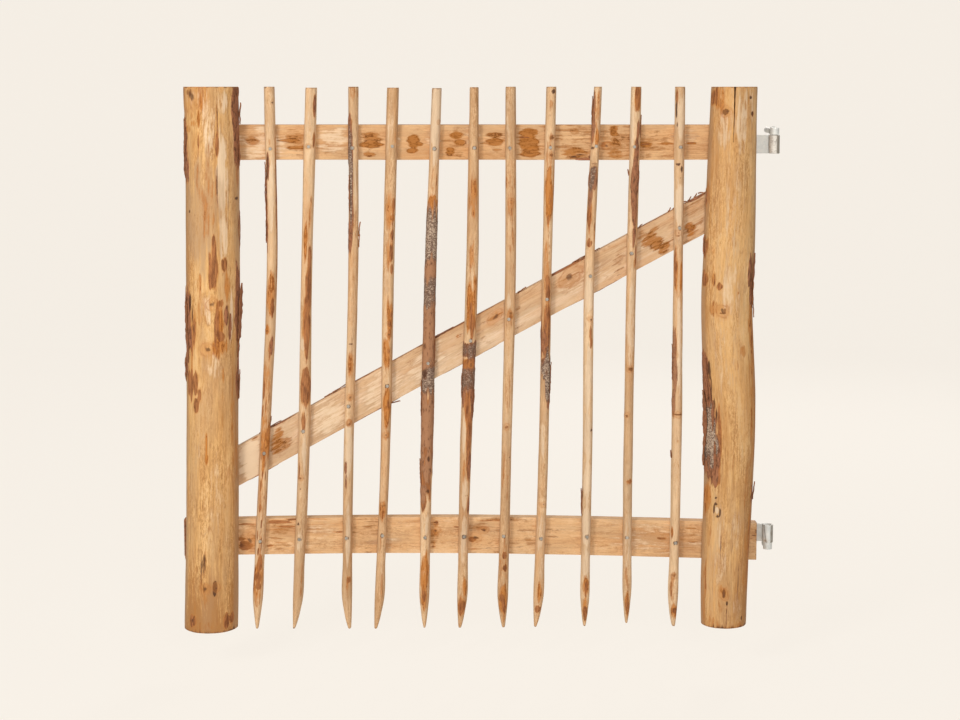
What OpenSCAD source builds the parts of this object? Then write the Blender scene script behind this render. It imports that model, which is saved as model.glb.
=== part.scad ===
// Rustic garden gate of split chestnut. Two stiles with round fronts stand before two
// rails and a diagonal brace, eleven pointed pales are nailed to the rails between them,
// and two strap hinges turn on gudgeons that are driven into a gatepost.
// +Z is up, the front faces -Y, and the hinge line stands at X = 0. The origin is where
// the lower gudgeon enters the face of the gatepost. The leaf opens towards the front.

/* [Leaf] */
// Height from the lowest pale point to the tops of the stiles
gate_h = 1200; // [1100:10:1400]
// Hinge line to the middle of the latch stile
latch_reach = 1223; // [1160:1:1400]
// Hinge line to the middle of the hinge stile
hinge_reach = 94; // [88:1:110]

/* [Stiles] */
// Width of the latch stile
latch_stile_w = 120; // [100:1:130]
// Front to back depth of the latch stile
latch_stile_d = 70; // [55:1:85]
// Width of the hinge stile
hinge_stile_w = 102; // [90:1:110]
// Front to back depth of the hinge stile
hinge_stile_d = 60; // [50:1:75]
// How far the foot of the latch stile stays above the lowest pale point
latch_foot = 5; // [0:1:20]
// How far the foot of the hinge stile stays above the lowest pale point
hinge_foot = 13; // [0:1:20]

/* [Rails and brace] */
// Thickness of the rails and the brace
rail_t = 28; // [22:1:34]
// Height of the top rail's section
top_rail_h = 77; // [70:1:84]
// How far the middle of the top rail lies below the tops of the stiles
top_rail_drop = 120; // [100:1:160]
// Height of the bottom rail's section at the latch side
bottom_rail_h = 82; // [72:1:90]
// Height of the middle of the bottom rail at the latch side
bottom_rail_z = 203; // [195:1:215]
// How far the bottom rail drops from the latch side to the hinge side
bottom_rail_drop = 8; // [0:1:12]
// Upward bow of the bottom rail at the middle
bottom_rail_bow = 10; // [0:1:15]
// How far the bottom rail stands past the latch stile
latch_overhang = 5; // [0:1:10]
// How far the bottom rail stands past the hinge stile
hinge_overhang = 16; // [0:1:18]
// Upright height of the brace's slanting section
brace_h = 90; // [70:1:96]
// Gap between the brace's foot and the bottom rail
brace_foot_gap = 25; // [20:1:40]
// Gap between the brace's head and the top rail
brace_head_gap = 26; // [12:1:40]

/* [Pales] */
// Front to back depth of a pale
pale_t = 20; // [16:1:26]
// Stile to the middle of the nearest pale
pale_edge = 65; // [60:1:75]
// Length of the pointed foot of a pale
point_len = 58; // [40:1:80]

/* [Hinges] */
// Height of a strap
strap_h = 40; // [36:1:44]
// Thickness of a strap
strap_t = 5; // [4:0.5:6]
// Length of a strap from the hinge line
strap_len = 400; // [390:5:500]
// How far the middle of the upper strap lies below the middle of the top rail
upper_strap_drop = 5; // [0:1:12]
// How far the middle of the lower strap lies above the middle of the bottom rail's end
lower_strap_rise = 14; // [5:1:18]
// Diameter of a hinge pin
pin_d = 13; // [10:1:16]
// Running clearance between a pin and its eye, on the radius
pin_clearance = 0.05; // [0.02:0.01:0.1]
// Distance of the hinge line from the face of the gatepost
post_gap = 24; // [22:1:40]
// Diameter of a gudgeon's shank
shank_d = 12; // [8:1:14]
// Length of shank that is driven into the gatepost, without its point
shank_len = 90; // [60:5:140]

/* [Fasteners] */
// Diameter of a coach screw
screw_d = 8; // [6:1:10]
// Width of a coach screw's head across its flats
screw_head_w = 13; // [11:1:17]
// Height of a coach screw's head
screw_head_h = 5.5; // [4:0.5:7]
// How far a coach screw bites into a stile
stile_bite = 40; // [20:1:44]
// How far a coach screw bites into a rail alone
rail_bite = 20; // [12:1:21]
// Diameter of a nail
nail_d = 3.4; // [2.8:0.2:4.2]
// Diameter of a nail's head
nail_head_d = 7; // [5.5:0.5:8]
// How far a nail bites into a rail or the brace
nail_bite = 20; // [12:1:21]

/* [Hidden] */

peeled = [0.80, 0.63, 0.42];
sawn = [0.86, 0.70, 0.50];
weathered = [0.76, 0.58, 0.38];
zinc = [0.72, 0.73, 0.72];
steel = [0.45, 0.46, 0.47];

round_fn = 48;
slot_w = 1.2;            // open seam of a rolled eye
seat_gap = 0.3;          // eye to the boss that it rests on
lift_gap = 1;            // eye to the boss that keeps the leaf from being lifted off
pin_recess = 3;          // free end of a pin to the open end of its eye
boss_h = 15;             // height of the boss that carries a pin
boss_wall = 3.5;         // steel round the pin in its boss
collar_t = 4;            // thickness of the collar that stops against the gatepost
collar_w = 4;            // width of the collar round the shank
shank_point = 25;        // length of the shank's point
shank_tip_d = 3;
hole_slack = 0.5;        // screw to its hole in a strap, on the radius
screw_point = 8;         // length of a coach screw's point
screw_tip_d = 1;
nail_head_t = 1.6;
nail_sink = 0.6;         // part of a nail's head that is driven into the pale
nail_point = 4;
nail_tip_d = 0.6;

// Where the layers lie from front to back. The gatepost's face is Y = 0.
pin_r = pin_d / 2;
bore_r = pin_r + pin_clearance;
eye_r = bore_r + strap_t;
pin_y = -post_gap;
strap_back_y = pin_y + eye_r;
rail_back_y = strap_back_y - strap_t;
rail_front_y = rail_back_y - rail_t;

// Heights are first measured from the lowest pale point. The origin is higher, at the
// axis of the lower shank.
top_rail_z = gate_h - top_rail_drop;
upper_strap_z = top_rail_z - upper_strap_drop;
lower_strap_z = bottom_rail_z - bottom_rail_drop + lower_strap_rise;
origin_z = lower_strap_z - strap_h / 2 - seat_gap - boss_h / 2;
upper_boss_z = upper_strap_z + strap_h / 2 + lift_gap + boss_h / 2;

// Stations of the stiles: share of the gate's height, sideways shift, width beyond the
// width at the top.
LATCH_STATIONS = [[0, -18, 1], [0.2, -12, -2], [0.4, -8, -4], [0.62, -3, 0], [0.83, 0, -1], [1, 0, 0]];
HINGE_STATIONS = [
    [0, -7, 0], [0.1, -6, 4], [0.25, -1, 8], [0.4, 1, 13], [0.5, -4, 14],
    [0.6, -9, 12], [0.7, -6, 12], [0.85, -3, 7], [1, 0, 0]
];
STILE_FLANK = 9;         // depth at which a stile is widest, in front of its flat back
STILE_FLAT = 0.92;       // share of the width that the flat back takes
STILE_ARC_STEPS = 16;
STILE_RINGS = 24;

// Pales from the latch side: where each leans at its foot, lower third, upper third and
// top, its width there, the height of its point, the drop of its top, the side on which
// its point lies (-1 to 1), and the lean of its front ridge (-1 to 1).
PALES = [
    [[-40, -20, 1, 0], [20, 21, 22, 23], 0, 0, 0.2, 0.2],
    [[-40, -22, -12, 2], [20, 25, 24, 25], 0, 2, -0.8, -0.4],
    [[-18, -12, 1, 4], [21, 21, 21, 21], 0, 0, 0.8, -0.8],
    [[-36, -20, -11, 1], [19, 20, 25, 25], 0, 2, -0.8, 0.6],
    [[-24, -17, -8, 7], [20, 25, 24, 20], 2, 3, 0.2, -0.2],
    [[-29, -20, -6, -1], [20, 24, 26, 18], 2, 1, -0.5, 0.5],
    [[-27, -19, -11, -11], [21, 22, 24, 22], 3, 0, 0.4, -0.6],
    [[-37, -26, -20, -12], [21, 20, 20, 22], 4, 0, -0.6, 0.3],
    [[-22, -18, -16, 0], [19, 20, 21, 16], 6, 0, 0, 0.7],
    [[-17, -17, -13, -6], [17, 20, 21, 22], 13, 0, -0.1, -0.5],
    [[-3, 1, 0, 0], [20, 22, 20, 23], 6, 0, 0.3, 0.4]
];
PALE_SHARES = [0.045, 0.34, 0.67, 1];
PALE_RINGS = 12;
POINT_RINGS = 3;
POINT_WIDTH = 0.3;       // width of a pale's blunt point, as a share

top_nail_drop = 11;      // nails in the top rail lie this far below its middle
nail_scatter = 3;        // by how far nails leave their line, up or down

board_steps = 14;        // stretches in the edge of a bowed board
bottom_rail_growth = 3;  // height that the bottom rail gains towards the hinge side
end_inset = 12;          // ends of the top rail, inside the outer edges of the stiles
brace_inset = 26;        // the same for the ends of the brace
brace_bow = 3;           // upward bow of the brace at the middle

// Screws through a rail and the brace into the stiles: half their distance, sideways and
// upright
rail_screw_spread = 24;
rail_screw_rise = 14;
brace_screw_spread = 18;

// Screws of a strap: two reach into the stile, and two hold in the rail alone
STILE_SCREW_PLACES = [-72, -116];
RAIL_SCREW_PLACES = [-255, -345];

// ---- smooth stations ------------------------------------------------------------

// Slope of column c at station i
function slope(s, i, c) =
    let (a = max(0, i - 1), b = min(len(s) - 1, i + 1))
    (s[b][c] - s[a][c]) / (s[b][0] - s[a][0]);

// Index of the station that starts the stretch holding u
function stretch(s, u, i = 0) = i >= len(s) - 2 || u < s[i + 1][0] ? i : stretch(s, u, i + 1);

// Column c of the stations at u, on one smooth curve
function along(s, u, c) =
    let (
        i = stretch(s, u),
        h = s[i + 1][0] - s[i][0],
        t = (u - s[i][0]) / h
    )
    s[i][c] * (1 + 2 * t) * (1 - t) * (1 - t)
    + s[i + 1][c] * t * t * (3 - 2 * t)
    + h * t * (1 - t) * (slope(s, i, c) * (1 - t) - slope(s, i + 1, c) * t);

// ---- stiles -----------------------------------------------------------------------

function stile_x(reach, stations, z) = -reach + along(stations, z / gate_h, 1);
function stile_w(w, stations, z) = w + along(stations, z / gate_h, 2);

// Outer edges of the stiles at a height
function latch_edge(z) =
    stile_x(latch_reach, LATCH_STATIONS, z) - stile_w(latch_stile_w, LATCH_STATIONS, z) / 2;
function hinge_edge(z) =
    stile_x(hinge_reach, HINGE_STATIONS, z) + stile_w(hinge_stile_w, HINGE_STATIONS, z) / 2;

// Half-round section of a split log with its flat back on y = 0, left to right
function stile_section(w, d) = concat(
    [[-w / 2 * STILE_FLAT, 0]],
    [
        for (k = [0:STILE_ARC_STEPS])
            let (a = 180 * k / STILE_ARC_STEPS)
            [-w / 2 * cos(a), -STILE_FLANK - (d - STILE_FLANK) * sin(a)]
    ],
    [[w / 2 * STILE_FLAT, 0]]
);

function stile_ring(reach, stations, w, d, z) = [
    for (p = stile_section(stile_w(w, stations, z), d))
        [stile_x(reach, stations, z) + p.x, rail_front_y + p.y, z]
];

// ---- pales ------------------------------------------------------------------------

// Even place of a pale between the stiles, and its stations
function pale_place(i) =
    let (
        first = -latch_reach + latch_stile_w / 2 + pale_edge,
        last = -hinge_reach - hinge_stile_w / 2 - pale_edge
    )
    first + (last - first) * i / (len(PALES) - 1);
function pale_stations(i) = [
    for (k = [0:len(PALE_SHARES) - 1]) [PALE_SHARES[k], PALES[i][0][k], PALES[i][1][k]]
];
function pale_x(i, z) = pale_place(i) + along(pale_stations(i), z / gate_h, 1);
function pale_w(i, z) = along(pale_stations(i), z / gate_h, 2);

// Middle of a pale's front ridge at a height
ridge_swing = 0.14;
function ridge_x(i, z) = pale_x(i, z) + ridge_swing * PALES[i][5] * pale_w(i, z);

// Cleft section with its flat back on y = 0, left to right
function pale_section(w, t, ridge) = [
    [-0.42 * w, 0], [-0.5 * w, -0.35 * t], [(-0.37 + 0.04 * ridge) * w, -0.82 * t],
    [(ridge * ridge_swing - 0.13) * w, -t], [(ridge * ridge_swing + 0.13) * w, -t],
    [(0.38 + 0.04 * ridge) * w, -0.8 * t], [0.5 * w, -0.32 * t], [0.42 * w, 0]
];

// Share of the full section that is left at a height above the point
function point_share(h) =
    h >= point_len ? 1 : POINT_WIDTH + (1 - POINT_WIDTH) * pow(h / point_len, 0.75);

function pale_ring(i, z) =
    let (
        share = point_share(z - PALES[i][2]),
        w = pale_w(i, z),
        side = PALES[i][4] * w / 2 * (1 - share)
    )
    [
        for (p = pale_section(w, pale_t, PALES[i][5]))
            [pale_x(i, z) + side + p.x * share, rail_front_y + p.y * (0.5 + 0.5 * share), z]
    ];

function pale_heights(i) =
    let (foot = PALES[i][2], top = gate_h - PALES[i][3], shoulder = foot + point_len)
    concat(
        [for (k = [0:POINT_RINGS - 1]) foot + point_len * k / POINT_RINGS],
        [for (k = [0:PALE_RINGS]) shoulder + (top - shoulder) * k / PALE_RINGS]
    );

// ---- boards -----------------------------------------------------------------------

// Height of the bottom rail's middle line at a share of its length, and the same for x
function bottom_rail_mid(u) = bottom_rail_z - bottom_rail_drop * u + bottom_rail_bow * sin(180 * u);
bottom_rail_x0 = latch_edge(bottom_rail_z) - latch_overhang;
bottom_rail_x1 = hinge_edge(bottom_rail_z) + hinge_overhang;
function bottom_rail_at(x) = bottom_rail_mid((x - bottom_rail_x0) / (bottom_rail_x1 - bottom_rail_x0));

top_rail_x0 = latch_edge(top_rail_z) + end_inset;
top_rail_x1 = hinge_edge(top_rail_z) - end_inset;

brace_x0 = latch_edge(bottom_rail_z) + brace_inset;
brace_x1 = hinge_edge(top_rail_z) - brace_inset;
brace_z0 = bottom_rail_at(brace_x0) + bottom_rail_h / 2 + brace_foot_gap + brace_h / 2;
brace_z1 = top_rail_z - top_rail_h / 2 - brace_head_gap - brace_h / 2;
function brace_at(x) =
    let (u = (x - brace_x0) / (brace_x1 - brace_x0))
    brace_z0 + (brace_z1 - brace_z0) * u + brace_bow * sin(180 * u);

// ---- shared solids ------------------------------------------------------------------

// Moves what is measured from the lowest pale point into the part's frame
module from_foot() {
    translate([0, 0, -origin_z]) children();
}

// Closed skin over rings that each run from left to right across the front
module loft(rings) {
    n = len(rings[0]);
    last = len(rings) - 1;
    points = [for (ring = rings) for (p = ring) p];
    walls = [
        for (r = [0:last - 1]) for (j = [0:n - 1])
            let (a = r * n + j, b = r * n + (j + 1) % n)
            each [[a, a + n, b + n], [a, b + n, b]]
    ];
    caps = [[for (j = [0:n - 1]) j], [for (j = [0:n - 1]) last * n + n - 1 - j]];
    polyhedron(points, concat(walls, caps), convexity = 4);
}

module stile(reach, stations, w, d, foot) {
    from_foot()
        loft([
            for (k = [0:STILE_RINGS])
                stile_ring(reach, stations, w, d, foot + (gate_h - foot) * k / STILE_RINGS)
        ]);
}

// Board in the rails' layer. Each row of the line is [x, middle, height].
module board(line) {
    last = len(line) - 1;
    from_foot()
        translate([0, rail_back_y, 0])
            rotate([90, 0, 0])
                linear_extrude(height = rail_t)
                    polygon(concat(
                        [for (p = line) [p[0], p[1] - p[2] / 2]],
                        [for (k = [0:last]) [line[last - k][0], line[last - k][1] + line[last - k][2] / 2]]
                    ));
}

module pale(i) {
    color(i % 3 == 1 ? weathered : peeled)
        from_foot() loft([for (z = pale_heights(i)) pale_ring(i, z)]);
}

// Coach screw whose head rests on y = 0 and whose point looks towards the front
module coach_screw(length) {
    rotate([90, 0, 0]) {
        cylinder(h = length - screw_point, d = screw_d, $fn = round_fn);
        translate([0, 0, length - screw_point])
            cylinder(h = screw_point, d1 = screw_d, d2 = screw_tip_d, $fn = round_fn);
        mirror([0, 0, 1])
            cylinder(h = screw_head_h, r = screw_head_w / sqrt(3), $fn = 6);
    }
}

// Nail whose head lies against y = 0 from behind and whose point looks towards the back
module nail(length) {
    rotate([-90, 0, 0]) {
        cylinder(h = nail_head_t, d = nail_head_d, $fn = round_fn);
        cylinder(h = length - nail_point, d = nail_d, $fn = round_fn);
        translate([0, 0, length - nail_point])
            cylinder(h = nail_point, d1 = nail_d, d2 = nail_tip_d, $fn = round_fn);
    }
}

// One nail through every pale, at the height that the list gives for it
module pale_nails(heights) {
    above = nail_head_t - nail_sink;
    color(steel)
        from_foot()
            for (i = [0:len(PALES) - 1])
                translate([ridge_x(i, heights[i]), rail_front_y - pale_t - above, heights[i]])
                    nail(above + pale_t + nail_bite);
}

// ---- stiles, rails and brace ----------------------------------------------------------

module latch_stile() {
    color(peeled) stile(latch_reach, LATCH_STATIONS, latch_stile_w, latch_stile_d, latch_foot);
}

module hinge_stile() {
    color(peeled) stile(hinge_reach, HINGE_STATIONS, hinge_stile_w, hinge_stile_d, hinge_foot);
}

module top_rail() {
    color(sawn)
        board([
            [top_rail_x0, top_rail_z, top_rail_h],
            [top_rail_x1, top_rail_z, top_rail_h]
        ]);
}

module bottom_rail() {
    color(sawn)
        board([
            for (k = [0:board_steps])
                let (u = k / board_steps)
                [
                    bottom_rail_x0 + (bottom_rail_x1 - bottom_rail_x0) * u,
                    bottom_rail_mid(u),
                    bottom_rail_h + bottom_rail_growth * u
                ]
        ]);
}

module brace() {
    color(sawn)
        board([
            for (k = [0:board_steps])
                let (x = brace_x0 + (brace_x1 - brace_x0) * k / board_steps)
                [x, brace_at(x), brace_h]
        ]);
}

// ---- hinges -----------------------------------------------------------------------------

// Plan of a strap: a flat bar whose end is rolled into an eye towards the front
module strap_plan() {
    difference() {
        union() {
            translate([0, pin_y]) circle(r = eye_r, $fn = round_fn);
            translate([-strap_len, strap_back_y - strap_t]) square([strap_len, strap_t]);
        }
        translate([0, pin_y]) circle(r = bore_r, $fn = round_fn);
        translate([-eye_r - 1, rail_back_y - slot_w]) square([eye_r + 1, slot_w]);
    }
}

// Outline of a strap seen from the front, with a round far end
module strap_face() {
    translate([-strap_len + strap_h / 2, -strap_h / 2]) square([strap_len - strap_h / 2 + eye_r, strap_h]);
    translate([-strap_len + strap_h / 2, 0]) circle(d = strap_h, $fn = round_fn);
}

module strap(z) {
    depth = 2 * eye_r + 2;
    color(zinc)
        from_foot()
            translate([0, 0, z])
                difference() {
                    intersection() {
                        translate([0, 0, -strap_h / 2]) linear_extrude(height = strap_h) strap_plan();
                        translate([0, strap_back_y + 1, 0])
                            rotate([90, 0, 0]) linear_extrude(height = depth) strap_face();
                    }
                    for (x = concat(STILE_SCREW_PLACES, RAIL_SCREW_PLACES))
                        translate([x, strap_back_y + 1, 0])
                            rotate([90, 0, 0])
                                cylinder(h = strap_t + 2, r = screw_d / 2 + hole_slack, $fn = round_fn);
                }
}

module strap_screws(z) {
    color(zinc)
        from_foot() {
            for (x = STILE_SCREW_PLACES)
                translate([x, strap_back_y, z]) coach_screw(strap_t + rail_t + stile_bite);
            for (x = RAIL_SCREW_PLACES)
                translate([x, strap_back_y, z]) coach_screw(strap_t + rail_bite);
        }
}

// Boss round the hinge line, a collar that stops against the gatepost and a shank that
// runs back into it
module gudgeon(z) {
    boss_r = pin_r + boss_wall;
    color(zinc)
        translate([0, 0, z])
            difference() {
                union() {
                    translate([0, pin_y, -boss_h / 2]) cylinder(h = boss_h, r = boss_r, $fn = round_fn);
                    translate([0, pin_y, 0])
                        rotate([-90, 0, 0]) cylinder(h = post_gap + shank_len, d = shank_d, $fn = round_fn);
                    translate([0, -collar_t, 0])
                        rotate([-90, 0, 0]) cylinder(h = collar_t, d = shank_d + 2 * collar_w, $fn = round_fn);
                    translate([0, shank_len, 0])
                        rotate([-90, 0, 0])
                            cylinder(h = shank_point, d1 = shank_d, d2 = shank_tip_d, $fn = round_fn);
                }
                translate([0, pin_y, -boss_h]) cylinder(h = 2 * boss_h, r = pin_r, $fn = round_fn);
            }
}

module hinge_pin(z, length) {
    color(zinc) translate([0, pin_y, z]) cylinder(h = length, r = pin_r, $fn = round_fn);
}

module upper_strap() {
    strap(upper_strap_z);
}

module lower_strap() {
    strap(lower_strap_z);
}

module upper_strap_screws() {
    strap_screws(upper_strap_z);
}

module lower_strap_screws() {
    strap_screws(lower_strap_z);
}

// The upper boss is above its eye, so its pin points down and the leaf can't be lifted off
module upper_gudgeon() {
    gudgeon(upper_boss_z - origin_z);
}

module lower_gudgeon() {
    gudgeon(0);
}

module upper_pin() {
    length = boss_h + lift_gap + strap_h - pin_recess;
    hinge_pin(upper_boss_z - origin_z + boss_h / 2 - length, length);
}

module lower_pin() {
    hinge_pin(-boss_h / 2, boss_h + seat_gap + strap_h - pin_recess);
}

// ---- screws and nails in the wood ---------------------------------------------------------

// Two coach screws fasten each rail to the latch stile from behind
module latch_stile_screws() {
    color(zinc)
        from_foot()
            for (side = [-1, 1]) {
                translate([stile_x(latch_reach, LATCH_STATIONS, top_rail_z) + side * rail_screw_spread,
                           rail_back_y, top_rail_z + side * rail_screw_rise])
                    coach_screw(rail_t + stile_bite);
                translate([stile_x(latch_reach, LATCH_STATIONS, bottom_rail_z) + side * rail_screw_spread,
                           rail_back_y, bottom_rail_z - side * rail_screw_rise])
                    coach_screw(rail_t + stile_bite);
            }
}

// Two coach screws fasten each end of the brace to its stile from behind
module brace_screws() {
    color(zinc)
        from_foot()
            for (side = [-1, 1]) {
                foot_x = stile_x(latch_reach, LATCH_STATIONS, brace_z0) + side * brace_screw_spread;
                head_x = stile_x(hinge_reach, HINGE_STATIONS, brace_z1) + side * brace_screw_spread;
                translate([foot_x, rail_back_y, brace_at(foot_x)]) coach_screw(rail_t + stile_bite);
                translate([head_x, rail_back_y, brace_at(head_x)]) coach_screw(rail_t + stile_bite);
            }
}

module top_rail_nails() {
    scatter = rands(-nail_scatter, nail_scatter, len(PALES), 5);
    pale_nails([for (i = [0:len(PALES) - 1]) top_rail_z - top_nail_drop + scatter[i]]);
}

module bottom_rail_nails() {
    scatter = rands(-2 * nail_scatter, 2 * nail_scatter, len(PALES), 8);
    pale_nails([for (i = [0:len(PALES) - 1]) bottom_rail_at(pale_x(i, bottom_rail_z)) + scatter[i]]);
}

// A pale leans, so its height at the brace is found at its even place first
module brace_nails() {
    pale_nails([
        for (i = [0:len(PALES) - 1])
            let (z = brace_at(pale_x(i, brace_at(pale_place(i)))))
            brace_at(pale_x(i, z))
    ]);
}

latch_stile();
hinge_stile();
top_rail();
bottom_rail();
brace();
pale(0);  // pale_01
pale(1);  // pale_02
pale(2);  // pale_03
pale(3);  // pale_04
pale(4);  // pale_05
pale(5);  // pale_06
pale(6);  // pale_07
pale(7);  // pale_08
pale(8);  // pale_09
pale(9);  // pale_10
pale(10);  // pale_11
upper_strap();
lower_strap();
upper_strap_screws();
lower_strap_screws();
latch_stile_screws();
brace_screws();
top_rail_nails();
bottom_rail_nails();
brace_nails();
upper_gudgeon();
lower_gudgeon();
upper_pin();
lower_pin();
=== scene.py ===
"""Dresses a garden gate of cleft chestnut with timber, bark and galvanised hinges, and sets its stage."""

import math

import bpy
import numpy as np
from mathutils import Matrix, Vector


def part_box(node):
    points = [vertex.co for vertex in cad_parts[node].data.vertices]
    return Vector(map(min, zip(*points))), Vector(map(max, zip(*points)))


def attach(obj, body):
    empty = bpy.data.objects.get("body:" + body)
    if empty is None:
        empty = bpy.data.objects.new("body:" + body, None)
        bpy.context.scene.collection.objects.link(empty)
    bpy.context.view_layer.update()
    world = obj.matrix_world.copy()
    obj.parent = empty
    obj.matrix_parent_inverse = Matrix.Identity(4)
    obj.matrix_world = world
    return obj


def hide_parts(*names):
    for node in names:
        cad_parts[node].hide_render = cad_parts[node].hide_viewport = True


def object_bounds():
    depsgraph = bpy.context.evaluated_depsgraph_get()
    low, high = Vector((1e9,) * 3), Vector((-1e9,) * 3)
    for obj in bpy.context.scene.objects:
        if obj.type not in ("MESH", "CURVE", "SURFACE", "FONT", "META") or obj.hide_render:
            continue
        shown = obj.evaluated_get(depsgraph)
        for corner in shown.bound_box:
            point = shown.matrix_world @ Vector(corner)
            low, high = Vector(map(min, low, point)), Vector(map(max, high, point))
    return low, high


bl_info = {
    "name": "Cleft Chestnut Garden Gate",
    "version": (1, 0, 0),
    "blender": (4, 5, 0),
    "location": "3D View > Sidebar > Gate",
    "description": "Dresses the frame of a garden gate with timber, bark and galvanised metal",
    "category": "Object",
}

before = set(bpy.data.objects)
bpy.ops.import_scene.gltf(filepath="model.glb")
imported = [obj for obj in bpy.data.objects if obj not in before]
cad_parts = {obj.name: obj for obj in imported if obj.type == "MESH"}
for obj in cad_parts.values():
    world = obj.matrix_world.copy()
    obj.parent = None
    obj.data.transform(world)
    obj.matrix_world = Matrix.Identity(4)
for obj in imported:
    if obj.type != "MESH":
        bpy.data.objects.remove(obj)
CAD_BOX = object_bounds()

MM = 0.001
LEAF = "leaf"
PALES = [f"pale_{k:02d}" for k in range(1, 12)]
NAIL_NODES = ["top_rail_nails", "brace_nails", "bottom_rail_nails"]
GATE_FOOT = CAD_BOX[0][2]
UPRIGHT = 2  # axis along an upright piece
LYING = 0  # axis along a rail or the brace
NO_KNOT = 3.0  # distance to the nearest knot, in its radii, where none is near
SHARP_ANGLE = 40  # between the faces that meet at a sharp edge, in degrees
CUT_RINGS = (0.94, 0.8, 0.6, 0.38, 0.16)  # rings of a sawn end, as shares of its outline
FLAKE_COLUMNS = 5
FLANK = 0.985  # share of a piece's half width at which its flank begins
STRAP_GAUGE = 5 * MM
STRAP_EASE = 0.9 * MM  # radius of a strap's eased edges
ROLL_TURNS = (90, -200)  # where the roll of an eye begins and ends, in degrees
SEAM_FOOT = -115  # where the foot of a seam lies round the eye, in degrees
SEAM_SLANT = 35  # how far the head of a seam lies past its foot, in degrees
LAMP_DISTANCE = 4.4
LAMP_WIDTH = 1.2
SENSOR_WIDTH = 36
CAMERA_SHIFT = -0.07  # vertical shift of the view, as a share of its width
CAMERA_ASIDE = 0.04015  # how far the camera stands to the left of the seventh pale

# ---- marks of the timber --------------------------------------------------------------
# Each mark is a row of: place across, place along, half its width, half its length, and
# its strength. Across runs from -1 to 1 over the front face and past that round the
# back. Along is in millimetres, up from the gate's foot, or from the hinge axis on the
# rails and the brace. The kinds are:
#   bark  outer bark, raised       bast   red-brown inner bark
#   stain orange sapwood stain     cream  freshly peeled pale wood
#   ash   grey weathering          knot   dark heart of a knot, or a black slit
# A row of knots is place across, place along and a radius: the grain runs round it.

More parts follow.
